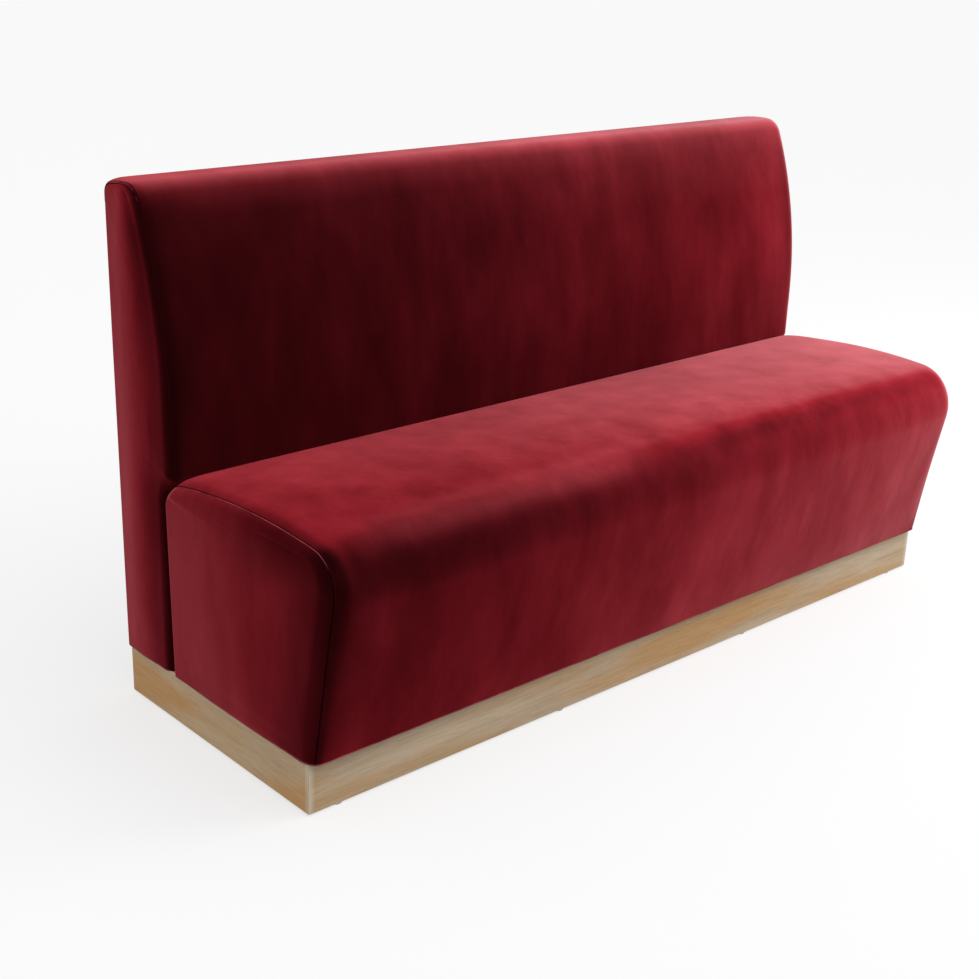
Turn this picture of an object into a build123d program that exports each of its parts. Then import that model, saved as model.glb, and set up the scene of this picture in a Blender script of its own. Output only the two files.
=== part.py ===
from build123d import *
import os
from math import asin, atan2, cos, degrees, hypot, radians, sin, sqrt, tan

# Upholstered bench of a restaurant booth, in millimetres.
# A velvet seat block and a velvet back block are bolted together and stand on an oak plinth.
# X runs along the bench, Y from the sitter's feet to the rear, Z up.
# The origin lies on the floor, under the middle of the bench.

# Sizes of the whole bench
overall_length = 1600.0
overall_depth = 600.0
overall_height = 907.0
seat_height = 460.0

# Oak plinth and what stands inside it
board_height = 88.0
board_thickness = 20.0
board_arris = 1.0
end_reveal = 4.0
front_reveal = 14.0
rear_reveal = 5.0
rear_rail_thickness = 18.0
cross_rail_thickness = 18.0
cross_rail_spacing = 500.0
corner_block_leg = 45.0
corner_block_height = 70.0

# Nail-in glides under the plinth
glide_height = 3.0
glide_diameter = 18.0
glide_pin_diameter = 3.0
glide_pin_length = 14.0
glide_end_setback = 60.0
glide_inner_spacing = 500.0
hole_clearance = 0.2

# Side outline of the seat block
seat_toe_setback = 56.0
seat_crest_setback = 205.0
seat_nose_radius = 75.0
seat_crown_radius = 1300.0
seat_rear_radius = 48.0

# Rounding of the seat block towards its two ends
seat_top_edge_radius = 25.0
seat_nose_corner_radius = 59.0
seat_toe_corner_radius = 15.0
seat_rear_edge_radius = 4.0
seat_seam_setback = 10.0

# Side outline of the back block
back_base_depth = 146.0
back_face_depth = 170.0
back_bend_height = 540.0
back_front_radius = 36.0
back_front_setback = 67.0
back_crown_radius = 250.0
back_crest_setback = 50.0
back_rear_radius = 18.0
back_lip_radius = 20.0
back_edge_radius = 12.0
back_rear_edge_radius = 4.0
back_seam_setback = 5.0
block_gap = 1.0

# Layers of the upholstery
cover_thickness = 2.0
soft_gap = 0.3
end_pad_thickness = 12.0
seat_foam_thickness = 65.0
front_foam_thickness = 30.0
back_foam_thickness = 46.0
top_foam_thickness = 36.0
felt_thickness = 4.0
webbing_thickness = 2.0
webbing_width = 50.0
webbing_pitch = 130.0
webbing_count = 11
dust_cover_thickness = 0.8
dust_cover_margin = 2.0

# Timber frames under the upholstery
gable_thickness = 18.0
rib_thickness = 18.0
rib_spacing = 510.0
rib_drop = 30.0
front_panel_thickness = 6.0
lower_panel_thickness = 6.0
rear_panel_thickness = 4.0
bottom_rail_height = 60.0
top_rail_height = 70.0
seat_rail_thickness = 30.0
front_rail_thickness = 40.0
back_rail_thickness = 30.0
back_top_rail_height = 60.0
back_mid_rail_height = 60.0
back_bottom_rail_thickness = 35.0
back_top_front_setback = 76.0

# Bolts that hold the seat to the back
bolt_diameter = 8.0
bolt_length = 90.0
bolt_head_across_flats = 13.0
bolt_head_height = 5.3
nut_height = 6.5
washer_diameter = 20.0
washer_thickness = 1.6
bolt_spacing = 600.0

# Steel angles and screws that hold the frames to the plinth
angle_leg = 38.0
angle_width = 25.0
angle_thickness = 2.0
angle_spacing = 620.0
angle_middle_shift = 120.0
angle_screw_diameter = 4.0
angle_screw_length = 15.0
angle_screw_head_diameter = 8.0
angle_screw_head_height = 2.5
angle_screw_spacing = 12.0
angle_screw_setback = 26.0

# Countersunk screws that hold the rails between the gables
frame_screw_diameter = 5.0
frame_screw_length = 60.0
frame_screw_head_diameter = 10.0
frame_screw_head_height = 3.0

# Cutting tools run past what they cut by this much, and lines closer than the gap are joined
overrun = 5.0
closing_gap = 0.001

# Where along a rounded end its sections stand, from the end face inwards
corner_shares = (0, 0.04, 0.16, 0.38, 0.66, 1)

# Places that follow from the sizes
end_x = overall_length / 2
nose_y = -overall_depth / 2
rear_y = overall_depth / 2
plinth_top = glide_height + board_height
seat_toe_y = nose_y + seat_toe_setback
seat_crest_y = nose_y + seat_crest_setback
back_base_y = rear_y - back_base_depth
back_face_y = rear_y - back_face_depth
seat_rear_y = back_base_y - block_gap
plinth_end_x = end_x - end_reveal
plinth_front_y = seat_toe_y + front_reveal
plinth_rear_y = rear_y - rear_reveal
plinth_inner_x = plinth_end_x - board_thickness
plinth_inner_front_y = plinth_front_y + board_thickness
plinth_inner_rear_y = plinth_rear_y - rear_rail_thickness

skin_depth = cover_thickness + soft_gap
gable_outer_x = end_x - skin_depth - end_pad_thickness - soft_gap
gable_inner_x = gable_outer_x - gable_thickness
seat_frame_top = seat_height - skin_depth - seat_foam_thickness - felt_thickness - webbing_thickness
seat_foam_bottom = seat_frame_top + webbing_thickness + felt_thickness
seat_frame_rear_y = seat_rear_y - skin_depth - rear_panel_thickness
front_panel_depth = skin_depth + front_foam_thickness
front_frame_depth = front_panel_depth + front_panel_thickness
back_frame_top = overall_height - skin_depth - top_foam_thickness
back_frame_rear_y = rear_y - skin_depth - rear_panel_thickness
back_frame_low_y = back_base_y + skin_depth + lower_panel_thickness
back_frame_face_y = back_face_y + skin_depth + back_foam_thickness + webbing_thickness
back_frame_crest_y = rear_y - back_top_front_setback


def arc_points(centre, radius, start, end):
    """Start, middle and end of an arc, from its centre, radius and two angles in degrees."""
    points = []
    for angle in (start, (start + end) / 2, end):
        turn = radians(angle)
        points.append((centre[0] + radius * cos(turn), centre[1] + radius * sin(turn)))
    return points


def inner_centre(crown, reach, across):
    """Centre of a corner that touches a crown from inside, and the angle at which it does."""
    up = crown[1] + sqrt(reach**2 - (across - crown[0]) ** 2)
    return (across, up), degrees(atan2(up - crown[1], across - crown[0]))


def drawn_in(radius, depth):
    """How far a rounded end of this radius draws in, at a depth behind its end face."""
    if depth >= radius:
        return 0
    return radius - sqrt(radius**2 - (radius - depth) ** 2)


def seat_outline(top_in, nose_in, toe_in, rear_in, bottom):
    """Arcs and foot of the seat's side outline, drawn in at its top, nose, toe and rear."""
    crown = (seat_crest_y, seat_height - seat_crown_radius)
    rear_radius = seat_rear_radius - top_in
    nose_radius = seat_nose_radius - top_in
    rear_across = seat_rear_y - rear_in - rear_radius
    rear, rear_angle = inner_centre(crown, seat_crown_radius - seat_rear_radius, rear_across)
    nose_across = nose_y + nose_in + nose_radius
    nose, nose_angle = inner_centre(crown, seat_crown_radius - seat_nose_radius, nose_across)
    toe_y = seat_toe_y + toe_in
    span_y = nose[0] - toe_y
    span_z = nose[1] - plinth_top
    rise = atan2(span_z, span_y) + asin(nose_radius / hypot(span_y, span_z))
    arcs = [
        (rear, rear_radius, 0, rear_angle),
        (crown, seat_crown_radius - top_in, rear_angle, nose_angle),
        (nose, nose_radius, nose_angle, degrees(rise) + 90),
    ]
    front_foot = (toe_y - (plinth_top - bottom) / tan(rise), bottom)
    return arcs, front_foot, (seat_rear_y - rear_in, bottom)


def back_outline(inset, rear_in, bottom):
    """Arcs and foot of the back's side outline, drawn in at its rear and all round the rest."""
    crown = (rear_y - back_crest_setback, overall_height - back_crown_radius)
    rear_radius = back_rear_radius - inset
    rear_across = rear_y - rear_in - rear_radius
    rear, rear_angle = inner_centre(crown, back_crown_radius - back_rear_radius, rear_across)
    front_across = rear_y - back_front_setback
    front, front_angle = inner_centre(crown, back_crown_radius - back_front_radius, front_across)
    lean = front[0] - back_face_y
    lift = front[1] - back_bend_height
    face_radius = (lean**2 + lift**2 - back_front_radius**2) / (2 * (lean - back_front_radius))
    face = (back_face_y + face_radius, back_bend_height)
    face_angle = degrees(atan2(lift, front[0] - face[0]))
    cradle = seat_outline(0, 0, 0, 0, bottom)[0][0][0]
    cradle_radius = seat_rear_radius + block_gap
    lip_y = back_face_y + back_lip_radius
    lip_rise = sqrt((cradle_radius + back_lip_radius) ** 2 - (lip_y - cradle[0]) ** 2)
    lip = (lip_y, cradle[1] + lip_rise)
    lip_angle = degrees(atan2(lip_rise, lip_y - cradle[0]))
    arcs = [
        (rear, rear_radius, 0, rear_angle),
        (crown, back_crown_radius - inset, rear_angle, front_angle),
        (front, back_front_radius - inset, front_angle, face_angle),
        (face, face_radius - inset, face_angle, 180),
        (lip, back_lip_radius - inset, 180, 180 + lip_angle),
        (cradle, cradle_radius + inset, lip_angle, 0),
    ]
    return arcs, (back_base_y + inset, bottom), (rear_y - rear_in, bottom)


def along_bench(reach, corner):
    """Places of the sections along the bench, each with its depth behind the nearer end."""
    depths = [corner * share for share in corner_shares]
    left = [(depth - reach, depth) for depth in depths]
    right = [(reach - depth, depth) for depth in reversed(depths)]
    return left + right


def seat_sections(inset, bottom):
    """Side outlines of the seat block along the bench, all drawn in by an inset."""
    sections = []
    for place, depth in along_bench(end_x - inset, seat_nose_corner_radius - inset):
        top_in = inset + drawn_in(seat_top_edge_radius - inset, depth)
        nose_in = inset + drawn_in(seat_nose_corner_radius - inset, depth)
        toe_in = inset + drawn_in(seat_toe_corner_radius - inset, depth)
        rear_in = inset + drawn_in(seat_rear_edge_radius - inset, depth)
        sections.append((place, seat_outline(top_in, nose_in, toe_in, rear_in, bottom)))
    return sections


def back_sections(inset, bottom):
    """Side outlines of the back block along the bench, all drawn in by an inset."""
    sections = []
    for place, depth in along_bench(end_x - inset, back_edge_radius - inset):
        edge_in = inset + drawn_in(back_edge_radius - inset, depth)
        rear_in = inset + drawn_in(back_rear_edge_radius - inset, depth)
        sections.append((place, back_outline(edge_in, rear_in, bottom)))
    return sections


def upholstered_form(sections):
    """A closed form through side outlines that stand one behind another along the bench."""
    with BuildPart() as form:
        for place, (arcs, front_foot, rear_foot) in sections:
            with BuildSketch(Plane.YZ.offset(place)):
                with BuildLine():
                    last = rear_foot
                    for centre, radius, start, end in arcs:
                        first, middle, final = arc_points(centre, radius, start, end)
                        if hypot(first[0] - last[0], first[1] - last[1]) > closing_gap:
                            Line(last, first)
                        ThreePointArc(first, middle, final)
                        last = final
                    Line(last, front_foot)
                    Line(front_foot, rear_foot)
                make_face()
        loft(ruled=True)
    return form.part


def seat_front_y(height, depth):
    """Place of a plane that lies behind the seat's raked front by a depth, at a height."""
    toe_arcs = seat_outline(0, 0, 0, 0, plinth_top)[0]
    rake = radians(toe_arcs[2][3] - 180)
    return seat_toe_y - (height - plinth_top) * tan(rake) + depth / cos(rake)


def back_front_y(height, depth):
    """Place of a plane in front of the back frame's raked face by a depth, at a height."""
    slope = (back_frame_crest_y - back_frame_face_y) / (back_frame_top - seat_frame_top)
    face = back_frame_face_y + (height - seat_frame_top) * slope
    return face - depth * sqrt(1 + slope**2)


def bore(points, axis, diameter, length):
    """Cut holes along an axis, each centred on its point."""
    for point in points:
        with Locations(Plane(origin=point, z_dir=axis.direction)):
            Cylinder(diameter / 2 + hole_clearance, length, mode=Mode.SUBTRACT)


def gable(outline, side, places):
    """A shaped end board with countersunk holes for the screws of the rails."""
    with BuildPart() as board:
        with BuildSketch(Plane.YZ.offset(side * gable_inner_x)):
            with BuildLine():
                Polyline(*outline, close=True)
            make_face()
        extrude(amount=side * gable_thickness)
        points = screw_points(places)
        bore(points, Axis.X, frame_screw_diameter, 2 * frame_screw_length)
        for point in points:
            inward = -1 if point[0] > 0 else 1
            with Locations(Plane(origin=point, z_dir=(inward, 0, 0))):
                Cone(
                    frame_screw_head_diameter / 2 + hole_clearance,
                    frame_screw_diameter / 2 + hole_clearance,
                    frame_screw_head_height,
                    align=(Align.CENTER, Align.CENTER, Align.MIN),
                    mode=Mode.SUBTRACT,
                )
    return board


def prism(outline, start_x, stop_x, holes=()):
    """A board with this side outline between two places along the bench, with its holes."""
    with BuildPart() as board:
        with BuildSketch(Plane.YZ.offset(start_x)):
            with BuildLine():
                Polyline(*outline, close=True)
            make_face()
        extrude(amount=stop_x - start_x)
        for points, axis, diameter, length in holes:
            bore(points, axis, diameter, length)
    return board


def box_outline(front, rear, bottom, top):
    """Four corners of an upright rectangle in the side view."""
    return [(front, bottom), (rear, bottom), (rear, top), (front, top)]


def finish(piece, name):
    """Name a finished piece and write it to its own file."""
    piece.part.label = name
    export_step(piece.part, f"parts/{name}.step")


os.makedirs("parts", exist_ok=True)
sides = ((-1, "left"), (1, "right"))

# Heights and places of the rails, shared by the rails and by their fasteners
bottom_rail_top = plinth_top + bottom_rail_height
top_rail_bottom = seat_frame_top - top_rail_height
bottom_rail_middle = plinth_top + bottom_rail_height / 2
top_rail_middle = seat_frame_top - top_rail_height / 2
seat_rail_front_y = seat_frame_rear_y - seat_rail_thickness
front_rail_rear_y = seat_front_y(plinth_top, front_frame_depth) + front_rail_thickness
top_front_rail_rear_y = seat_front_y(seat_frame_top, front_frame_depth) + front_rail_thickness
back_rail_rear_y = back_frame_low_y + back_rail_thickness
back_bottom_rail_front_y = back_frame_rear_y - back_bottom_rail_thickness
back_top_rail_bottom = back_frame_top - back_top_rail_height
back_mid_rail_top = seat_frame_top + back_mid_rail_height
back_top_rail_rear_y = back_front_y(back_top_rail_bottom, 0) + back_rail_thickness
back_mid_rail_rear_y = back_front_y(seat_frame_top, 0) + back_rail_thickness

# Through bolts between the two frames, in two rows of three
bolt_places = []
for bolt_x in (-bolt_spacing, 0, bolt_spacing):
    for bolt_z in (bottom_rail_middle, top_rail_middle):
        bolt_places.append((bolt_x, seat_rail_front_y, bolt_z))
bolt_holes = (bolt_places, Axis.Y, bolt_diameter, 2 * bolt_length)

# Steel angles on the inside of the plinth, three at the front and three at the rear
angle_top = plinth_top - dust_cover_thickness
angle_places = []
for angle_x in (-angle_spacing, angle_middle_shift, angle_spacing):
    angle_places.append((angle_x, plinth_inner_front_y, 1))
    angle_places.append((angle_x, plinth_inner_rear_y, -1))
upright_screws = []
level_screws = []
for angle_x, angle_y, facing in angle_places:
    for shift in (-angle_screw_spacing / 2, angle_screw_spacing / 2):
        upright_screws.append((angle_x + shift, angle_y + facing * angle_screw_setback, angle_top))
        level_screws.append((angle_x + shift, angle_y, angle_top - angle_screw_setback))
upright_holes = (upright_screws, Axis.Z, angle_screw_diameter, 2 * angle_screw_length)
level_holes = (level_screws, Axis.Y, angle_screw_diameter, 2 * angle_screw_length)

# Screws through the gables into the ends of the rails
seat_screw_places = [
    (seat_frame_rear_y - seat_rail_thickness / 2, bottom_rail_middle),
    (seat_frame_rear_y - seat_rail_thickness / 2, top_rail_middle),
    (front_rail_rear_y - front_rail_thickness / 2, bottom_rail_middle),
    (top_front_rail_rear_y - front_rail_thickness / 2, top_rail_middle),
]
back_screw_places = [
    (back_rail_rear_y - back_rail_thickness / 2, bottom_rail_middle),
    (back_rail_rear_y - back_rail_thickness / 2, top_rail_middle),
    (back_mid_rail_rear_y - back_rail_thickness / 2, seat_frame_top + back_mid_rail_height / 2),
    (back_top_rail_rear_y - back_rail_thickness / 2, back_frame_top - back_top_rail_height / 2),
    (back_frame_rear_y - back_bottom_rail_thickness / 2, bottom_rail_middle),
]


def screw_points(places):
    """Points on the outer faces of both gables, one for each place in the side view."""
    points = []
    for side, word in sides:
        for across, height in places:
            points.append((side * gable_outer_x, across, height))
    return points


def screw_holes(places):
    """Holes for the screws that run through the gables at these places."""
    return (screw_points(places), Axis.X, frame_screw_diameter, 2 * frame_screw_length)


# Nail-in glides: places of their pins under the boards and the cross rails
glide_xs = (
    glide_end_setback - plinth_end_x,
    -glide_inner_spacing / 2,
    glide_inner_spacing / 2,
    plinth_end_x - glide_end_setback,
)
front_glides = [(x, plinth_front_y + board_thickness / 2, glide_height) for x in glide_xs]
rear_glides = [(x, plinth_rear_y - rear_rail_thickness / 2, glide_height) for x in glide_xs]
cross_glides = [(x, 0, glide_height) for x in (-cross_rail_spacing, 0, cross_rail_spacing)]
glide_places = front_glides + rear_glides + cross_glides
glide_holes = (glide_places, Axis.Z, glide_pin_diameter, 2 * glide_pin_length + overrun)

# Plinth front board, mitred at both ends
with BuildPart() as plinth_front_board:
    with BuildSketch(Plane.XY.offset(glide_height)):
        with BuildLine():
            Polyline(
                (-plinth_end_x, plinth_front_y),
                (plinth_end_x, plinth_front_y),
                (plinth_inner_x, plinth_inner_front_y),
                (-plinth_inner_x, plinth_inner_front_y),
                close=True,
            )
        make_face()
    extrude(amount=board_height)
    front_face = plinth_front_board.faces().sort_by(Axis.Y)[0]
    chamfer(front_face.edges().filter_by(Axis.X), length=board_arris)
    bore(front_glides, Axis.Z, glide_pin_diameter, 2 * glide_pin_length + overrun)
    bore(level_screws, Axis.Y, angle_screw_diameter, 2 * angle_screw_length)
finish(plinth_front_board, "plinth_front_board")

# Plinth end boards, mitred at the front and square at the rear
for side, word in sides:
    with BuildPart() as plinth_end_board:
        with BuildSketch(Plane.XY.offset(glide_height)):
            with BuildLine():
                Polyline(
                    (side * plinth_end_x, plinth_front_y),
                    (side * plinth_inner_x, plinth_inner_front_y),
                    (side * plinth_inner_x, plinth_rear_y),
                    (side * plinth_end_x, plinth_rear_y),
                    close=True,
                )
            make_face()
        extrude(amount=board_height)
        outer_face = plinth_end_board.faces().sort_by(Axis.X)[0 if side < 0 else -1]
        chamfer(outer_face.edges().filter_by(Axis.Y), length=board_arris)
    finish(plinth_end_board, f"plinth_{word}_end_board")

# Plinth rear rail between the end boards
rear_rail_outline = box_outline(plinth_inner_rear_y, plinth_rear_y, glide_height, plinth_top)
rear_rail_holes = [(rear_glides,) + glide_holes[1:], level_holes]
plinth_rear_rail = prism(rear_rail_outline, -plinth_inner_x, plinth_inner_x, rear_rail_holes)
finish(plinth_rear_rail, "plinth_rear_rail")

# Plinth cross rails from the front board to the rear rail, each on a glide
cross_outline = box_outline(plinth_inner_front_y, plinth_inner_rear_y, glide_height, angle_top)
for centre_x, word in ((-cross_rail_spacing, "left"), (0, "middle"), (cross_rail_spacing, "right")):
    cross_rail = prism(
        cross_outline,
        centre_x - cross_rail_thickness / 2,
        centre_x + cross_rail_thickness / 2,
        [(cross_glides,) + glide_holes[1:]],
    )
    finish(cross_rail, f"plinth_{word}_cross_rail")

# Glue blocks in the four inner corners of the plinth
with BuildPart() as plinth_corner_blocks:
    with BuildSketch(Plane.XY.offset(glide_height)):
        for side, word in sides:
            for corner_y, facing in ((plinth_inner_front_y, 1), (plinth_inner_rear_y, -1)):
                with BuildLine():
                    Polyline(
                        (side * plinth_inner_x, corner_y),
                        (side * (plinth_inner_x - corner_block_leg), corner_y),
                        (side * plinth_inner_x, corner_y + facing * corner_block_leg),
                        close=True,
                    )
                make_face()
    extrude(amount=corner_block_height)
finish(plinth_corner_blocks, "plinth_corner_blocks")

# Nylon glides with their nails
with BuildPart() as glides:
    for x, y, z in glide_places:
        with Locations((x, y, 0)):
            Cylinder(glide_diameter / 2, glide_height, align=(Align.CENTER, Align.CENTER, Align.MIN))
        with Locations((x, y, z)):
            pin_height = glide_pin_length
            Cylinder(glide_pin_diameter / 2, pin_height, align=(Align.CENTER, Align.CENTER, Align.MIN))
finish(glides, "glides")

# Black cloth under both frames, inside the plinth
with BuildPart() as dust_cover:
    with BuildSketch(Plane.XY.offset(angle_top)):
        with BuildLine():
            Polyline(
                (dust_cover_margin - plinth_inner_x, plinth_inner_front_y + dust_cover_margin),
                (plinth_inner_x - dust_cover_margin, plinth_inner_front_y + dust_cover_margin),
                (plinth_inner_x - dust_cover_margin, plinth_inner_rear_y - dust_cover_margin),
                (dust_cover_margin - plinth_inner_x, plinth_inner_rear_y - dust_cover_margin),
                close=True,
            )
        make_face()
    extrude(amount=dust_cover_thickness)
    bore(upright_screws, Axis.Z, angle_screw_diameter, 2 * angle_screw_length)
finish(dust_cover, "dust_cover")

# Steel angles inside the plinth
with BuildPart() as plinth_angles:
    for angle_x, angle_y, facing in angle_places:
        with BuildSketch(Plane.YZ.offset(angle_x - angle_width / 2)):
            with BuildLine():
                Polyline(
                    (angle_y, angle_top),
                    (angle_y + facing * angle_leg, angle_top),
                    (angle_y + facing * angle_leg, angle_top - angle_thickness),
                    (angle_y + facing * angle_thickness, angle_top - angle_thickness),
                    (angle_y + facing * angle_thickness, angle_top - angle_leg),
                    (angle_y, angle_top - angle_leg),
                    close=True,
                )
            make_face()
        extrude(amount=angle_width)
    bore(upright_screws, Axis.Z, angle_screw_diameter, 2 * angle_screw_length)
    bore(level_screws, Axis.Y, angle_screw_diameter, 2 * angle_screw_length)
finish(plinth_angles, "plinth_angles")

# Pan-head screws of the steel angles
with BuildPart() as angle_screws:
    for x, y, z in upright_screws:
        with Locations(Plane(origin=(x, y, z - angle_thickness), z_dir=(0, 0, -1))):
            Cylinder(
                angle_screw_head_diameter / 2,
                angle_screw_head_height,
                align=(Align.CENTER, Align.CENTER, Align.MIN),
            )
            Cylinder(
                angle_screw_diameter / 2,
                angle_screw_length,
                align=(Align.CENTER, Align.CENTER, Align.MAX),
            )
    for x, y, z in level_screws:
        facing = 1 if y < 0 else -1
        with Locations(Plane(origin=(x, y + facing * angle_thickness, z), z_dir=(0, facing, 0))):
            Cylinder(
                angle_screw_head_diameter / 2,
                angle_screw_head_height,
                align=(Align.CENTER, Align.CENTER, Align.MIN),
            )
            Cylinder(
                angle_screw_diameter / 2,
                angle_screw_length,
                align=(Align.CENTER, Align.CENTER, Align.MAX),
            )
finish(angle_screws, "angle_screws")

# Seat gables, the two shaped ends of the seat frame
seat_gable_outline = [
    (seat_front_y(plinth_top, front_frame_depth), plinth_top),
    (seat_frame_rear_y, plinth_top),
    (seat_frame_rear_y, seat_frame_top),
    (seat_front_y(seat_frame_top, front_frame_depth), seat_frame_top),
]
for side, word in sides:
    seat_gable = gable(seat_gable_outline, side, seat_screw_places)
    finish(seat_gable, f"seat_{word}_gable")

# Seat ribs, two shaped boards between the rails that stiffen the frame
seat_rib_top = seat_frame_top - rib_drop
seat_rib_outline = [
    (front_rail_rear_y, plinth_top),
    (seat_rail_front_y, plinth_top),
    (seat_rail_front_y, seat_rib_top),
    (top_front_rail_rear_y, seat_rib_top),
    (top_front_rail_rear_y, top_rail_bottom),
    (seat_front_y(top_rail_bottom, front_frame_depth), top_rail_bottom),
    (seat_front_y(bottom_rail_top, front_frame_depth), bottom_rail_top),
    (front_rail_rear_y, bottom_rail_top),
]
for side, word in sides:
    centre_x = side * rib_spacing / 2
    seat_rib = prism(seat_rib_outline, centre_x - rib_thickness / 2, centre_x + rib_thickness / 2)
    finish(seat_rib, f"seat_{word}_rib")

# Seat rails between the gables
seat_rails = {
    "seat_front_bottom_rail": [
        (seat_front_y(plinth_top, front_frame_depth), plinth_top),
        (front_rail_rear_y, plinth_top),
        (front_rail_rear_y, bottom_rail_top),
        (seat_front_y(bottom_rail_top, front_frame_depth), bottom_rail_top),
    ],
    "seat_front_top_rail": [
        (seat_front_y(top_rail_bottom, front_frame_depth), top_rail_bottom),
        (top_front_rail_rear_y, top_rail_bottom),
        (top_front_rail_rear_y, seat_frame_top),
        (seat_front_y(seat_frame_top, front_frame_depth), seat_frame_top),
    ],
    "seat_rear_bottom_rail": box_outline(
        seat_rail_front_y, seat_frame_rear_y, plinth_top, bottom_rail_top
    ),
    "seat_rear_top_rail": box_outline(
        seat_rail_front_y, seat_frame_rear_y, top_rail_bottom, seat_frame_top
    ),
}
for name, outline in seat_rails.items():
    rail = prism(
        outline,
        -gable_inner_x,
        gable_inner_x,
        [screw_holes(seat_screw_places), bolt_holes, upright_holes],
    )
    finish(rail, name)

# Raked plywood panel behind the front foam
front_panel_outline = [
    (seat_front_y(plinth_top, front_panel_depth), plinth_top),
    (seat_front_y(plinth_top, front_frame_depth), plinth_top),
    (seat_front_y(seat_frame_top, front_frame_depth), seat_frame_top),
    (seat_front_y(seat_frame_top, front_panel_depth), seat_frame_top),
]
seat_front_panel = prism(front_panel_outline, -gable_outer_x, gable_outer_x)
finish(seat_front_panel, "seat_front_panel")

# Hardboard panel across the rear of the seat frame
seat_rear_panel_outline = box_outline(
    seat_frame_rear_y, seat_frame_rear_y + rear_panel_thickness, plinth_top, seat_frame_top
)
seat_rear_panel = prism(seat_rear_panel_outline, -gable_outer_x, gable_outer_x, [bolt_holes])
finish(seat_rear_panel, "seat_rear_panel")

# Elastic webbing across the seat frame, from front to rear
webbing_xs = [webbing_pitch * (place - (webbing_count - 1) / 2) for place in range(webbing_count)]
webbing_top = seat_frame_top + webbing_thickness
seat_webbing_front_y = seat_front_y(seat_frame_top, front_frame_depth)
with BuildPart() as seat_webbing:
    for webbing_x in webbing_xs:
        with BuildSketch(Plane.YZ.offset(webbing_x - webbing_width / 2)):
            with BuildLine():
                Polyline(
                    *box_outline(
                        seat_webbing_front_y, seat_frame_rear_y, seat_frame_top, webbing_top
                    ),
                    close=True,
                )
            make_face()
        extrude(amount=webbing_width)
finish(seat_webbing, "seat_webbing")

# Felt between the webbing and the seat foam
seat_felt_outline = box_outline(
    seat_webbing_front_y, seat_frame_rear_y, webbing_top, seat_foam_bottom
)
seat_felt = prism(seat_felt_outline, -gable_outer_x, gable_outer_x)
finish(seat_felt, "seat_felt")

# The seat's closed forms: the outside and inside of its cover, and the outside of its foam
seat_outside = upholstered_form(seat_sections(0, plinth_top))
seat_inside = upholstered_form(seat_sections(cover_thickness, plinth_top - overrun))
seat_foam_form = upholstered_form(seat_sections(skin_depth, plinth_top))

# Seat foam slab over the whole frame, with the crowned top and the round nose
slab_reach = 2 * overall_depth
with BuildPart() as seat_foam_slab:
    add(seat_foam_form)
    with BuildSketch(Plane.YZ.offset(-gable_outer_x)):
        with BuildLine():
            Polyline(
                *box_outline(-slab_reach, slab_reach, seat_foam_bottom, 2 * seat_height),
                close=True,
            )
        make_face()
    extrude(amount=2 * gable_outer_x, mode=Mode.INTERSECT)
finish(seat_foam_slab, "seat_foam_slab")

# Foam on the raked front, under the slab
with BuildPart() as seat_front_foam:
    add(seat_foam_form)
    with BuildSketch(Plane.YZ.offset(-gable_outer_x)):
        with BuildLine():
            Polyline(
                (-slab_reach, plinth_top),
                (seat_front_y(plinth_top, front_panel_depth), plinth_top),
                (seat_front_y(seat_foam_bottom, front_panel_depth), seat_foam_bottom),
                (-slab_reach, seat_foam_bottom),
                close=True,
            )
        make_face()
    extrude(amount=2 * gable_outer_x, mode=Mode.INTERSECT)
finish(seat_front_foam, "seat_front_foam")

# Foam pads on the ends of the seat
for side, word in sides:
    pad_plane = Plane.YZ.offset(side * (gable_outer_x + soft_gap))
    with BuildPart() as seat_end_pad:
        add(seat_foam_form)
        split(bisect_by=pad_plane, keep=Keep.TOP if side > 0 else Keep.BOTTOM)
    finish(seat_end_pad, f"seat_{word}_end_pad")

# Seat cover: one wrap over front, top and rear, and a panel on each end
seat_seam_x = end_x - seat_seam_setback
with BuildPart() as seat_wrap_cover:
    add(seat_outside)
    add(seat_inside, mode=Mode.SUBTRACT)
    split(bisect_by=Plane.YZ.offset(-seat_seam_x), keep=Keep.TOP)
    split(bisect_by=Plane.YZ.offset(seat_seam_x), keep=Keep.BOTTOM)
    bore(bolt_places, Axis.Y, bolt_diameter, 2 * bolt_length)
finish(seat_wrap_cover, "seat_wrap_cover")
for side, word in sides:
    with BuildPart() as seat_end_cover:
        add(seat_outside)
        add(seat_inside, mode=Mode.SUBTRACT)
        seam_plane = Plane.YZ.offset(side * seat_seam_x)
        split(bisect_by=seam_plane, keep=Keep.TOP if side > 0 else Keep.BOTTOM)
    finish(seat_end_cover, f"seat_{word}_end_cover")

# Back gables, stepped below the cushion and raked above it
back_gable_outline = [
    (back_frame_low_y, plinth_top),
    (back_frame_rear_y, plinth_top),
    (back_frame_rear_y, back_frame_top),
    (back_front_y(back_frame_top, 0), back_frame_top),
    (back_front_y(seat_frame_top, 0), seat_frame_top),
    (back_frame_low_y, seat_frame_top),
]
for side, word in sides:
    back_gable = gable(back_gable_outline, side, back_screw_places)
    finish(back_gable, f"back_{word}_gable")

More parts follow.
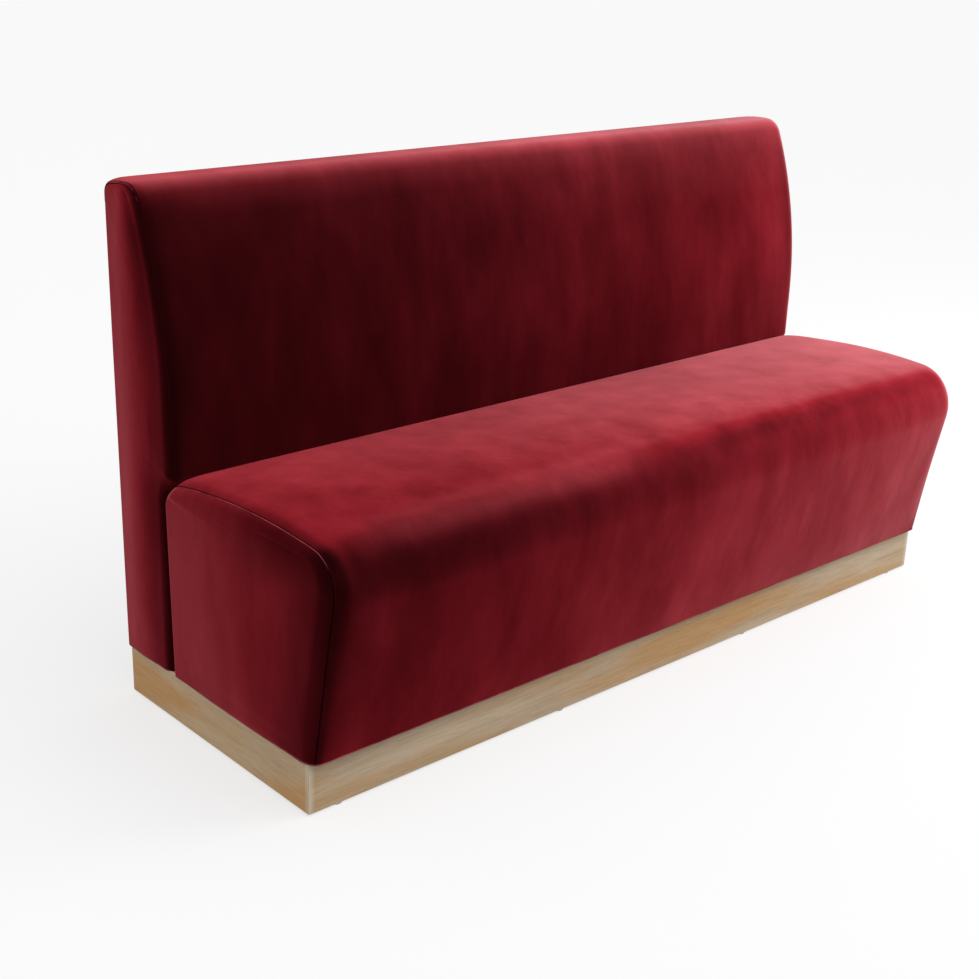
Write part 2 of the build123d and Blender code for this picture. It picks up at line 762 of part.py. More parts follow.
# Back ribs between the rails
back_rib_outline = [
    (back_rail_rear_y, plinth_top),
    (back_bottom_rail_front_y, plinth_top),
    (back_bottom_rail_front_y, bottom_rail_top),
    (back_frame_rear_y, bottom_rail_top),
    (back_frame_rear_y, back_top_rail_bottom),
    (back_top_rail_rear_y, back_top_rail_bottom),
    (back_mid_rail_rear_y, back_mid_rail_top),
    (back_mid_rail_rear_y, seat_frame_top),
    (back_rail_rear_y, seat_frame_top),
]
for side, word in sides:
    centre_x = side * rib_spacing / 2
    back_rib = prism(back_rib_outline, centre_x - rib_thickness / 2, centre_x + rib_thickness / 2)
    finish(back_rib, f"back_{word}_rib")

# Back rails between the gables
back_rails = {
    "back_front_bottom_rail": box_outline(
        back_frame_low_y, back_rail_rear_y, plinth_top, bottom_rail_top
    ),
    "back_seat_rail": box_outline(
        back_frame_low_y, back_rail_rear_y, top_rail_bottom, seat_frame_top
    ),
    "back_rear_bottom_rail": box_outline(
        back_bottom_rail_front_y, back_frame_rear_y, plinth_top, bottom_rail_top
    ),
    "back_middle_rail": [
        (back_front_y(seat_frame_top, 0), seat_frame_top),
        (back_mid_rail_rear_y, seat_frame_top),
        (back_mid_rail_rear_y, back_mid_rail_top),
        (back_front_y(back_mid_rail_top, 0), back_mid_rail_top),
    ],
    "back_top_rail": [
        (back_front_y(back_top_rail_bottom, 0), back_top_rail_bottom),
        (back_top_rail_rear_y, back_top_rail_bottom),
        (back_top_rail_rear_y, back_frame_top),
        (back_front_y(back_frame_top, 0), back_frame_top),
    ],
}
for name, outline in back_rails.items():
    rail = prism(
        outline,
        -gable_inner_x,
        gable_inner_x,
        [screw_holes(back_screw_places), bolt_holes, upright_holes],
    )
    finish(rail, name)

# Plywood panel low on the front of the back frame, behind the seat
lower_panel_outline = box_outline(
    back_frame_low_y - lower_panel_thickness, back_frame_low_y, plinth_top, seat_frame_top
)
back_lower_panel = prism(lower_panel_outline, -gable_outer_x, gable_outer_x, [bolt_holes])
finish(back_lower_panel, "back_lower_panel")

# Hardboard panel across the whole rear
back_rear_panel_outline = box_outline(
    back_frame_rear_y, back_frame_rear_y + rear_panel_thickness, plinth_top, back_frame_top
)
back_rear_panel = prism(back_rear_panel_outline, -gable_outer_x, gable_outer_x)
finish(back_rear_panel, "back_rear_panel")

# Elastic webbing up the raked face of the back frame
with BuildPart() as back_webbing:
    for webbing_x in webbing_xs:
        with BuildSketch(Plane.YZ.offset(webbing_x - webbing_width / 2)):
            with BuildLine():
                Polyline(
                    (back_front_y(seat_frame_top, webbing_thickness), seat_frame_top),
                    (back_front_y(seat_frame_top, 0), seat_frame_top),
                    (back_front_y(back_frame_top, 0), back_frame_top),
                    (back_front_y(back_frame_top, webbing_thickness), back_frame_top),
                    close=True,
                )
            make_face()
        extrude(amount=webbing_width)
finish(back_webbing, "back_webbing")

# The back's closed forms: the outside and inside of its cover, and the outside of its foam
back_outside = upholstered_form(back_sections(0, plinth_top))
back_inside = upholstered_form(back_sections(cover_thickness, plinth_top - overrun))
back_foam_form = upholstered_form(back_sections(skin_depth, plinth_top))

# Front foam of the back, from the lip over the seat up to the top rail
with BuildPart() as back_front_foam:
    add(back_foam_form)
    with BuildSketch(Plane.YZ.offset(-gable_outer_x)):
        with BuildLine():
            Polyline(
                (-slab_reach, seat_frame_top),
                (back_front_y(seat_frame_top, webbing_thickness), seat_frame_top),
                (back_front_y(back_frame_top, webbing_thickness), back_frame_top),
                (-slab_reach, back_frame_top),
                close=True,
            )
        make_face()
    extrude(amount=2 * gable_outer_x, mode=Mode.INTERSECT)
finish(back_front_foam, "back_front_foam")

# Foam over the top rail, with the rounded top of the back
with BuildPart() as back_top_foam:
    add(back_foam_form)
    with BuildSketch(Plane.YZ.offset(-gable_outer_x)):
        with BuildLine():
            Polyline(
                *box_outline(-slab_reach, slab_reach, back_frame_top, 2 * overall_height),
                close=True,
            )
        make_face()
    extrude(amount=2 * gable_outer_x, mode=Mode.INTERSECT)
finish(back_top_foam, "back_top_foam")

# Foam pads on the ends of the back
for side, word in sides:
    pad_plane = Plane.YZ.offset(side * (gable_outer_x + soft_gap))
    with BuildPart() as back_end_pad:
        add(back_foam_form)
        split(bisect_by=pad_plane, keep=Keep.TOP if side > 0 else Keep.BOTTOM)
    finish(back_end_pad, f"back_{word}_end_pad")

# Back cover: a wrap over front and top, a panel on each end and a flat panel at the rear
back_seam_x = end_x - back_seam_setback
rear_seam_z = back_frame_top
rear_cover_front_y = back_frame_rear_y - rear_panel_thickness
rear_strip = box_outline(rear_cover_front_y, slab_reach, 0, rear_seam_z)
with BuildPart() as back_wrap_cover:
    add(back_outside)
    add(back_inside, mode=Mode.SUBTRACT)
    split(bisect_by=Plane.YZ.offset(-back_seam_x), keep=Keep.TOP)
    split(bisect_by=Plane.YZ.offset(back_seam_x), keep=Keep.BOTTOM)
    with BuildSketch(Plane.YZ.offset(-end_x)):
        with BuildLine():
            Polyline(*rear_strip, close=True)
        make_face()
    extrude(amount=overall_length, mode=Mode.SUBTRACT)
    bore(bolt_places, Axis.Y, bolt_diameter, 2 * bolt_length)
finish(back_wrap_cover, "back_wrap_cover")
back_rear_cover_outline = box_outline(rear_y - cover_thickness, rear_y, plinth_top, rear_seam_z)
back_rear_cover = prism(back_rear_cover_outline, -back_seam_x, back_seam_x)
finish(back_rear_cover, "back_rear_cover")
for side, word in sides:
    with BuildPart() as back_end_cover:
        add(back_outside)
        add(back_inside, mode=Mode.SUBTRACT)
        seam_plane = Plane.YZ.offset(side * back_seam_x)
        split(bisect_by=seam_plane, keep=Keep.TOP if side > 0 else Keep.BOTTOM)
    finish(back_end_cover, f"back_{word}_end_cover")

# Countersunk screws through the gables into the rails
for places, word in ((seat_screw_places, "seat"), (back_screw_places, "back")):
    with BuildPart() as frame_screws:
        for x, y, z in screw_points(places):
            inward = -1 if x > 0 else 1
            with Locations(Plane(origin=(x, y, z), z_dir=(inward, 0, 0))):
                Cone(
                    frame_screw_head_diameter / 2,
                    frame_screw_diameter / 2,
                    frame_screw_head_height,
                    align=(Align.CENTER, Align.CENTER, Align.MIN),
                )
                Cylinder(
                    frame_screw_diameter / 2,
                    frame_screw_length,
                    align=(Align.CENTER, Align.CENTER, Align.MIN),
                )
    finish(frame_screws, f"{word}_frame_screws")

# Hexagon bolts through the rear rails of the seat and the front rails of the back
head_y = seat_rail_front_y - washer_thickness
with BuildPart() as frame_bolts:
    for x, y, z in bolt_places:
        with BuildSketch(Plane(origin=(x, head_y, z), x_dir=(1, 0, 0), z_dir=(0, -1, 0))):
            RegularPolygon(bolt_head_across_flats / 2, 6, major_radius=False)
        extrude(amount=bolt_head_height)
        with Locations(Plane(origin=(x, head_y, z), z_dir=(0, 1, 0))):
            Cylinder(
                bolt_diameter / 2,
                bolt_length,
                align=(Align.CENTER, Align.CENTER, Align.MIN),
            )
finish(frame_bolts, "frame_bolts")

# Washers under the bolt heads and under the nuts
with BuildPart() as frame_washers:
    for x, y, z in bolt_places:
        for face_y in (head_y, back_rail_rear_y):
            with Locations(Plane(origin=(x, face_y, z), z_dir=(0, 1, 0))):
                Cylinder(
                    washer_diameter / 2,
                    washer_thickness,
                    align=(Align.CENTER, Align.CENTER, Align.MIN),
                )
    bore(bolt_places, Axis.Y, bolt_diameter, 2 * bolt_length)
finish(frame_washers, "frame_washers")

# Nuts on the bolts, inside the back
nut_y = back_rail_rear_y + washer_thickness
with BuildPart() as frame_nuts:
    for x, y, z in bolt_places:
        with BuildSketch(Plane(origin=(x, nut_y, z), x_dir=(1, 0, 0), z_dir=(0, 1, 0))):
            RegularPolygon(bolt_head_across_flats / 2, 6, major_radius=False)
        extrude(amount=nut_height)
    bore(bolt_places, Axis.Y, bolt_diameter, 2 * bolt_length)
finish(frame_nuts, "frame_nuts")
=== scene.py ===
import math

import bmesh
import bpy
from mathutils import Matrix, Vector
from mathutils.kdtree import KDTree


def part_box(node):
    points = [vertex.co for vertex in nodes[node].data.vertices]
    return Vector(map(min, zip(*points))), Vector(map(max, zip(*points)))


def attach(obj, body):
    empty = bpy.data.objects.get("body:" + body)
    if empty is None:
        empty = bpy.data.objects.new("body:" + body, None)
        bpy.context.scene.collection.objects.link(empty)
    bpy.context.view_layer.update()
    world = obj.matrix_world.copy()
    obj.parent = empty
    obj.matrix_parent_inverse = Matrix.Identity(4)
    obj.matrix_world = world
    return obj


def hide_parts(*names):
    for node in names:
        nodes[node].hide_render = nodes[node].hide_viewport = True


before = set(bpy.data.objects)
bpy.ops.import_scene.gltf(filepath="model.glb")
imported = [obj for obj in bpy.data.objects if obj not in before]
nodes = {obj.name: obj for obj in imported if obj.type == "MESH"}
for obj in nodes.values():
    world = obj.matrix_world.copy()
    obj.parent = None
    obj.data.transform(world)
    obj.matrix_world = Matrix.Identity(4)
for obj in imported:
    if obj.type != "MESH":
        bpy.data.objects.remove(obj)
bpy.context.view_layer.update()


# The camera stands in front of the bench's left end and looks down on it a little.
# Its place, turn and lens were solved from the corners of the plinth and of both blocks.
def placed(name, data):
    """An object of this name and data, in the scene."""
    thing = bpy.data.objects.new(name, data)
    bpy.context.scene.collection.objects.link(thing)
    return thing


view_turn = math.radians(40.128)
view_drop = math.radians(20.071)
view_tilt = math.radians(0.886)
view_place = Vector((-1.97242, -1.85686, 1.27231))
ahead = Vector((
    math.sin(view_turn) * math.cos(view_drop),
    math.cos(view_turn) * math.cos(view_drop),
    -math.sin(view_drop),
))
level = Vector((math.cos(view_turn), -math.sin(view_turn), 0))
upward = level.cross(ahead)
across = level * math.cos(view_tilt) + upward * math.sin(view_tilt)
over = upward * math.cos(view_tilt) - level * math.sin(view_tilt)
lens = bpy.data.cameras.new("camera")
lens.sensor_width = 36
lens.lens = 55.748
lens.shift_x = 0.0797
lens.shift_y = -0.0029
lens.clip_end = 200
camera = placed("camera", lens)
turn = Matrix((across, over, -ahead)).transposed()
camera.matrix_world = Matrix.Translation(view_place) @ turn.to_4x4()
bpy.context.scene.camera = camera
bpy.context.scene.view_settings.view_transform = "Standard"


# The floor is a pale plane that reaches the horizon, and it keeps the bench's soft shadow.
# Seen directly, it and the sky around it are the photograph's near-white.
class Value:
    """A socket of a finish's nodes. A sum written with it adds the Math node that works it out."""

    def __init__(self, finish, socket):
        self.finish = finish
        self.socket = socket

    def __add__(self, other):
        return self.finish.math("ADD", self, other)

    def __radd__(self, other):
        return self.finish.math("ADD", other, self)

    def __sub__(self, other):
        return self.finish.math("SUBTRACT", self, other)

    def __rsub__(self, other):
        return self.finish.math("SUBTRACT", other, self)

    def __mul__(self, other):
        return self.finish.math("MULTIPLY", self, other)

    def __rmul__(self, other):
        return self.finish.math("MULTIPLY", other, self)

    def __pow__(self, other):
        return self.finish.math("POWER", self, other)


class Finish:
    """A material, or the sky, that is built node by node."""

    def __init__(self, name, owner=None):
        self.owner = owner or bpy.data.materials.new(name)
        self.owner.use_nodes = True
        self.tree = self.owner.node_tree
        self.tree.nodes.clear()

    def node(self, kind, settings, sockets, output=0):
        node = self.tree.nodes.new(kind)
        for name, setting in settings.items():
            if name == "stops":
                ramp = node.color_ramp
                while len(ramp.elements) < len(setting):
                    ramp.elements.new(0.5)
                for element, (place, colour) in zip(ramp.elements, setting):
                    element.position = place
                    element.color = (*colour, 1)
            else:
                setattr(node, name, setting)
        for name, value in sockets.items():
            if isinstance(value, Value):
                self.tree.links.new(value.socket, node.inputs[name])
            else:
                node.inputs[name].default_value = value
        return Value(self, node.outputs[output])

    def math(self, operation, *values):
        return self.node("ShaderNodeMath", {"operation": operation}, dict(enumerate(values)))

    def ray(self, kind):
        """1 for the rays of one kind, and 0 for all others."""
        return self.node("ShaderNodeLightPath", {}, {}, f"Is {kind} Ray")

    def coordinate(self, axis):
        """The object coordinate along one axis, in metres."""
        here = self.node("ShaderNodeTexCoord", {}, {}, "Object")
        return self.node("ShaderNodeSeparateXYZ", {}, {0: here}, axis)

    def place(self, stretch):
        """Object coordinates, stretched along the three axes."""
        here = self.node("ShaderNodeTexCoord", {}, {}, "Object")
        return self.node("ShaderNodeMapping", {}, {"Vector": here, "Scale": stretch})

    def noise(self, stretch, scale, detail, roughness):
        """Cloudy noise from 0 to 1 that is stretched along the axes."""
        sockets = {
            "Vector": self.place(stretch),
            "Scale": scale,
            "Detail": detail,
            "Roughness": roughness,
        }
        return self.node("ShaderNodeTexNoise", {}, sockets)

    def ramp(self, value, stops):
        """A colour or a grey that follows a value through its stops."""
        return self.node("ShaderNodeValToRGB", {"stops": stops}, {"Fac": value})

    def blend(self, share, first, second, way="MIX"):
        """One colour laid over another by a share."""
        settings = {"data_type": "RGBA", "blend_type": way}
        return self.node("ShaderNodeMix", settings, {0: share, 6: first, 7: second}, 2)

    def bump(self, height, distance, strength, **under):
        """Normals of a surface that rises and falls with a height, in metres, over a Normal if given."""
        sockets = {"Height": height, "Distance": distance, "Strength": strength, **under}
        return self.node("ShaderNodeBump", {}, sockets)

    def layer(self, share, first, second):
        """One shader laid over another by a share."""
        return self.node("ShaderNodeMixShader", {}, {0: share, 1: first, 2: second})

    def surface(self, sockets):
        """The closing shader, joined to the material's output."""
        return self.close(self.node("ShaderNodeBsdfPrincipled", {}, sockets))

    def close(self, shader, output="ShaderNodeOutputMaterial"):
        end = self.tree.nodes.new(output)
        self.tree.links.new(shader.socket, end.inputs["Surface"])
        return self.owner


def grey(value):
    return (value, value, value)


floor_reach = 80
floor_glow = 0.655
floor_finish = Finish("studio_floor")
seen = floor_finish.ray("Camera") + floor_finish.ray("Glossy") + floor_finish.ray("Transmission")
glow = floor_finish.node("ShaderNodeEmission", {}, {"Color": (1, 1, 1, 1), "Strength": seen * floor_glow})
matt = floor_finish.node("ShaderNodeBsdfDiffuse", {}, {"Color": (0.325, 0.327, 0.327, 1)})
floor_material = floor_finish.close(floor_finish.node("ShaderNodeAddShader", {}, {0: glow, 1: matt}))
floor_mesh = bpy.data.meshes.new("studio_floor")
floor_mesh.from_pydata(
    [(x, y, 0) for x, y in ((-1, -1), (1, -1), (1, 1), (-1, 1))], [], [(0, 1, 2, 3)]
)
floor_mesh.transform(Matrix.Scale(floor_reach, 4))
floor_mesh.materials.append(floor_material)
floor = placed("studio_floor", floor_mesh)

# An even white sky and two wide soft suns light the bench at a plain level.
# The main sun stands high on the right, so the shadow falls to the left.
world = bpy.data.worlds.new("studio")
bpy.context.scene.world = world
sky = Finish("studio", world)
shown = sky.ray("Camera")
for kind in ("Transmission", "Glossy"):
    shown = sky.math("MAXIMUM", sky.ray(kind), shown)
sky_light = sky.node("ShaderNodeBackground", {}, {"Color": (1, 1, 1, 1), "Strength": 0.50})
backdrop = sky.node("ShaderNodeBackground", {}, {"Color": (0.985, 0.987, 0.987, 1)})
sky.close(sky.layer(shown, sky_light, backdrop), "ShaderNodeOutputWorld")
for name, towards, strength, width in (
    ("main_sun", (0.25, -0.35, 0.90), 1.15, 60),
    ("front_sun", (-0.75, -0.40, 0.50), 0.40, 70),
):
    sun = bpy.data.lights.new(name, "SUN")
    sun.energy = strength
    sun.angle = math.radians(width)
    lamp = placed(name, sun)
    lamp.rotation_euler = Vector(towards).to_track_quat("Z", "Y").to_euler()
side_light = bpy.data.lights.new("side_panel", "AREA")
side_light.energy = 42
side_light.size = 1.6
side_lamp = placed("side_panel", side_light)
side_place = Vector((2.5, -1.6, 1.7))
side_aim = Vector((0.7, 0.1, 0.6))
side_turn = (side_place - side_aim).to_track_quat("Z", "Y").to_matrix().to_4x4()
side_lamp.matrix_world = Matrix.Translation(side_place) @ side_turn

# The plinth is a low frame of matt oak boards, mitred at its two front corners.
# Its grain runs along each board, and its arrises are softened by hand.
front_low, front_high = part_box("plinth_front_board")
left_low, left_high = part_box("plinth_left_end_board")
board_thickness = left_high.x - left_low.x
rear_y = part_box("plinth_rear_rail")[1].y
joint = 0.0002
arris = 0.0014
warm_height = 0.045


def grained(along, lengthwise, sideways):
    """How much a pattern is stretched along the three axes, when its grain runs along one."""
    return tuple(lengthwise if axis == along else sideways for axis in range(3))


def oak(name, along, tone, lower):
    """Oak with its grain along an axis, under a tone, warmer low down and worn at the mitres."""
    finish = Finish(name)
    grain = finish.noise(grained(along, 1.2, 34), 14, 6, 0.65)
    figure = finish.noise(grained(along, 0.5, 7), 5, 3, 0.55)
    patches = finish.noise(grained(along, 1.6, 9), 1.5, 2, 0.5)
    pores = finish.noise(grained(along, 3, 85), 30, 2, 0.6)
    colour = finish.ramp(
        figure,
        [(0.30, (0.52, 0.385, 0.245)), (0.5, (0.58, 0.435, 0.285)), (0.72, (0.64, 0.49, 0.33))],
    )
    lowness = (warm_height - finish.coordinate("Z")) * lower
    warm = finish.ramp(patches + lowness, [(0.44, grey(0)), (0.64, grey(0.9))])
    colour = finish.blend(warm, colour, (0.56, 0.315, 0.125, 1))
    streak = finish.ramp(grain, [(0.32, (0.70, 0.66, 0.60)), (0.55, (1, 1, 1)), (0.8, (1.10, 1.09, 1.08))])
    colour = finish.blend(0.6, colour, streak, "MULTIPLY")
    pore = finish.ramp(pores, [(0.30, (0.55, 0.48, 0.40)), (0.40, (1, 1, 1))])
    colour = finish.blend(0.45, colour, pore, "MULTIPLY")
    colour = finish.blend(1.0, colour, tone, "MULTIPLY")
    reach = finish.math("ABSOLUTE", finish.coordinate("X"))
    from_mitre = front_high.x - reach + finish.coordinate("Y") - front_low.y
    worn = finish.ramp(from_mitre * 34.0 + patches * 0.4, [(0.18, grey(0.75)), (0.62, grey(0))])
    return finish.surface({
        "Base Color": finish.blend(worn, colour, (0.80, 0.70, 0.55, 1)),
        "Roughness": finish.ramp(grain, [(0.2, grey(0.72)), (0.8, grey(0.56))]),
        "Specular IOR Level": 0.3,
        "Normal": finish.bump(grain + pores * 0.6, 0.0006, 0.6),
    })


def board(name, outline, material, node):
    """A board with this plan outline and softened arrises, in place of its plain CAD board."""
    corners = [(x, y, z) for z in (front_low.z, front_high.z) for x, y in outline]
    count = len(outline)
    faces = [tuple(range(count))[::-1], tuple(range(count, 2 * count))]
    for corner in range(count):
        after = (corner + 1) % count
        faces.append((corner, after, count + after, count + corner))
    mesh = bpy.data.meshes.new(name)
    mesh.from_pydata(corners, [], faces)
    mesh.materials.append(material)
    mesh.materials.append(oak_arris)
    piece = placed(name, mesh)
    soften = piece.modifiers.new("arris", "BEVEL")
    soften.width = arris
    soften.segments = 3
    soften.material = 1
    soften.limit_method = "ANGLE"
    for polygon in mesh.polygons:
        polygon.use_smooth = False
    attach(piece, "root")
    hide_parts(node)


def dress(material, *names):
    """Gives CAD nodes that stay as they are their finish."""
    for name in names:
        nodes[name].data.materials.clear()
        nodes[name].data.materials.append(material)


oak_lengthwise = oak("oak_lengthwise", 0, (0.99, 1, 1.04, 1), 0.3)
# The end boards' oak is painted a quarter lighter than the front board's: painted light standing in for the
# light their end faces miss.
oak_crosswise = oak("oak_crosswise", 1, (1.25, 1.23, 1.19, 1), 2.2)
oak_arris = oak("oak_arris", 2, (1.5, 1.5, 1.6, 1), 0.0)
front_outline = [
    (front_low.x + joint, front_low.y),
    (front_high.x - joint, front_low.y),
    (front_high.x - board_thickness - joint, front_high.y),
    (front_low.x + board_thickness + joint, front_high.y),
]
board("oak_front_board", front_outline, oak_lengthwise, "plinth_front_board")
for side, word in ((-1, "left"), (1, "right")):
    outer = side * front_high.x
    inner = side * (front_high.x - board_thickness)
    outline = [
        (outer, rear_y),
        (inner, rear_y),
        (inner, front_high.y + joint),
        (outer, front_low.y + joint),
    ]
    if side < 0:
        outline.reverse()
    board(f"oak_{word}_end_board", outline, oak_crosswise, f"plinth_{word}_end_board")
dress(oak_lengthwise, "plinth_rear_rail")


# Both blocks are covered in velvet with a short dense pile: dark where it is looked into and pale
# pink-red where it is looked across, with soft marks where the pile was brushed another way.
def coat(finish, colour, normal, specular):
    """One matt layer of pile."""
    return finish.node("ShaderNodeBsdfPrincipled", {}, {
        "Base Color": colour, "Roughness": 0.9, "Specular IOR Level": specular, "Normal": normal,
    })


def pulled(share):
    """A pattern's stretch where the pile was brushed up and down."""
    return (share, share, 0.35 * share)


def velvet(name, combed, mottle, frosting):
    """Velvet from its dark roots, its red pile and its pale tips.

    The pile is combed to a lean, and its marks are mottled. The frosting of its tips has a share
    at the bench's middle and a growth along the bench. That growth, and the lean's growth along
    the bench, are painted light, lighter towards the right end; the lean is also lowered by the
    painted shade of the corners.
    """
    finish = Finish(name)
    clouds = finish.noise(pulled(1), 2.2, 3, 0.55)
    brushed = finish.noise(pulled(3.1), 4.2, 4, 0.6)
    crushed = finish.noise(pulled(2.0), 9, 5, 0.7)
    fuzz = finish.noise((1, 1, 1), 900, 2, 0.6)
    ribs = finish.noise((1, 1, 18), 60, 2, 0.5)
    marks = clouds * 0.6 + brushed * 0.4
    nap = finish.bump(fuzz + ribs * 0.5, 0.0004, 0.3)
    normal = finish.bump(marks, 0.010, 0.18 * mottle, Normal=nap)
    facing = finish.node("ShaderNodeLayerWeight", {}, {"Blend": 0.5, "Normal": normal}, "Facing")
    grazed = facing + (marks - 0.5) * (0.16 * mottle) + (crushed - 0.5) * (0.12 * mottle)
    root_colour = finish.ramp(
        marks,
        [(0.34, (0.012, 0.0004, 0.0008)), (0.5, (0.017, 0.0006, 0.0012)), (0.66, (0.026, 0.0010, 0.0020))],
    )
    pile_colour = finish.ramp(
        marks, [(0.34, (0.64, 0.024, 0.042)), (0.5, (0.74, 0.034, 0.057)), (0.66, (0.84, 0.046, 0.074))]
    )
    roots = coat(finish, root_colour, normal, 0.02)
    pile = coat(finish, pile_colour, normal, 0.02)
    tips = coat(finish, (0.80, 0.40, 0.44, 1), normal, 0.02)
    along = finish.coordinate("X")
    # Painted shade: darker at the upright corners and at the foot of the back's face.
    corner_shade_share = finish.node("ShaderNodeAttribute", {"attribute_name": "turned_pile"}, {}, "Fac")
    # Painted light: a highlight along the back's top edge and upper face, lighter on the left of the seat's
    # nose and darker on its right.
    raised = finish.node("ShaderNodeAttribute", {"attribute_name": "raised_pile"}, {}, "Fac")
    # Painted light: the lean grows towards the right end.
    lean = ((marks - 0.5) * (0.9 * mottle) + along * 0.12 + combed) * (1.0 - corner_shade_share * 0.55)
    # Painted light: the frosting grows towards the right end.
    frosting = finish.math("MAXIMUM", along * frosting[1] + frosting[0], 0.25)
    opened = finish.ramp(grazed, [
        (0.08, grey(0.012)), (0.20, grey(0.048)), (0.30, grey(0.115)), (0.40, grey(0.215)),
        (0.50, grey(0.325)), (0.66, grey(0.465)), (1.0, grey(0.68)),
    ])
    frosted = finish.ramp(grazed, [
        (0.42, grey(0)), (0.52, grey(0.016)), (0.62, grey(0.062)), (0.74, grey(0.165)), (1.0, grey(0.26)),
    ])
    shader = finish.layer(opened * lean + raised * 0.12, roots, pile)
    pale = frosted * lean * frosting + raised * opened * 0.25
    return finish.close(finish.layer(pale, shader, tips))


velvet_wrap = velvet("velvet_wrap", 1.0, 1.0, (0.82, 0.8))
velvet_end = velvet("velvet_end", 1.18, 0.6, (1.0, 0.0))


# Where the velvet is folded over a seam its pile stands open, so the fold looks paler, and its pale colour
# is partly a painted highlight.
# The dark lines beside the seams are painted shade, and low on the upright seams the folds are painted dark
# as painted shade.
def folded_velvet(name, low, high, share, below):
    """Folded velvet between two colours. Low down its painted light falls to the share that is below:
    painted shade.
    """
    finish = Finish(name)
    fuzz = finish.noise((1, 1, 1), 700, 2, 0.6)
    worn = finish.noise((1, 1, 1), 22, 3, 0.6)
    # Painted light on the fold above a height, and painted shade below it.
    painted_height_light = finish.ramp(finish.coordinate("Z"), [(0.424, grey(below)), (0.446, grey(1))])
    normal = finish.bump(fuzz, 0.0003, 0.4)
    facing = finish.node("ShaderNodeLayerWeight", {}, {"Blend": 0.5, "Normal": normal}, "Facing")
    tint = finish.blend(finish.ramp(worn, [(0.3, grey(0)), (0.6, grey(1))]), low, high)
    body = coat(finish, finish.blend(painted_height_light, (0.012, 0.0006, 0.0012, 1), tint), normal, 0.0)
    pile = coat(finish, (0.80, 0.20, 0.24, 1), normal, 0.0)
    return finish.close(finish.layer((facing ** 1.6) * share * painted_height_light, body, pile))


seat_fold = folded_velvet("seat_fold", (0.14, 0.018, 0.024, 1), (0.42, 0.085, 0.10, 1), 0.10, 0.0)
back_fold = folded_velvet("back_fold", (0.012, 0.0008, 0.0015, 1), (0.30, 0.045, 0.055, 1), 0.08, 1.0)
velvet_hem = folded_velvet("velvet_hem", (0.14, 0.022, 0.028, 1), (0.36, 0.085, 0.09, 1), 0.15, 1.0)
# Dark velvet for the lines of painted shade in the grooves beside the seams.
painted_groove_shade = folded_velvet("painted_groove_shade", (0.018, 0.0010, 0.0018, 1), (0.03, 0.0018, 0.003, 1), 0.0, 1.0)

# The seams are sewn with a round polyester thread, dyed to the velvet and as matt as its pile.
# One row of stitches runs along every seam, one stitch every 5 mm.
thread_finish = Finish("sewing_thread")
twist = thread_finish.noise((1, 1, 1), 1600, 2, 0.5)
sewing_thread = thread_finish.surface({
    "Base Color": thread_finish.ramp(twist, [(0.35, (0.030, 0.002, 0.004)), (0.65, (0.075, 0.007, 0.011))]),
    "Roughness": thread_finish.ramp(twist, [(0.3, grey(0.6)), (0.7, grey(0.8))]),
    "Specular IOR Level": 0.0,
    "Normal": thread_finish.bump(twist, 0.0002, 0.5),
})
stitch_tree = bpy.data.node_groups.new("stitch_row", "GeometryNodeTree")
for label, kind, default in (
    ("Seam", "NodeSocketGeometry", None),
    ("Pitch", "NodeSocketFloat", 0.005),
    ("Stitch length", "NodeSocketFloat", 0.0036),
    ("Thread radius", "NodeSocketFloat", 0.00045),
    ("Thread", "NodeSocketMaterial", None),
):
    socket = stitch_tree.interface.new_socket(label, in_out="INPUT", socket_type=kind)
    if default is not None:
        socket.default_value = default
stitch_tree.interface.new_socket("Stitches", in_out="OUTPUT", socket_type="NodeSocketGeometry")
given = stitch_tree.nodes.new("NodeGroupInput")
made = stitch_tree.nodes.new("NodeGroupOutput")
spaced = stitch_tree.nodes.new("GeometryNodeResampleCurve")
spaced.mode = "LENGTH"
tangent = stitch_tree.nodes.new("GeometryNodeInputTangent")
turned = stitch_tree.nodes.new("FunctionNodeAlignRotationToVector")
turned.axis = "Z"
strand = stitch_tree.nodes.new("GeometryNodeMeshUVSphere")
strand.inputs["Segments"].default_value = 6
strand.inputs["Rings"].default_value = 5
strand.inputs["Radius"].default_value = 1.0
half = stitch_tree.nodes.new("ShaderNodeMath")
half.operation = "MULTIPLY"
half.inputs[1].default_value = 0.5
size = stitch_tree.nodes.new("ShaderNodeCombineXYZ")
rows = stitch_tree.nodes.new("GeometryNodeInstanceOnPoints")
realised = stitch_tree.nodes.new("GeometryNodeRealizeInstances")
dyed = stitch_tree.nodes.new("GeometryNodeSetMaterial")
for start, end in (
    (given.outputs["Seam"], spaced.inputs["Curve"]),
    (given.outputs["Pitch"], spaced.inputs["Length"]),
    (spaced.outputs["Curve"], rows.inputs["Points"]),
    (tangent.outputs["Tangent"], turned.inputs["Vector"]),
    (turned.outputs["Rotation"], rows.inputs["Rotation"]),
    (strand.outputs["Mesh"], rows.inputs["Instance"]),
    (given.outputs["Stitch length"], half.inputs[0]),
    (given.outputs["Thread radius"], size.inputs["X"]),
    (given.outputs["Thread radius"], size.inputs["Y"]),
    (half.outputs[0], size.inputs["Z"]),
    (size.outputs[0], rows.inputs["Scale"]),
    (rows.outputs["Instances"], realised.inputs["Geometry"]),
    (realised.outputs["Geometry"], dyed.inputs["Geometry"]),
    (given.outputs["Thread"], dyed.inputs["Material"]),
    (dyed.outputs["Geometry"], made.inputs["Stitches"]),
):
    stitch_tree.links.new(start, end)

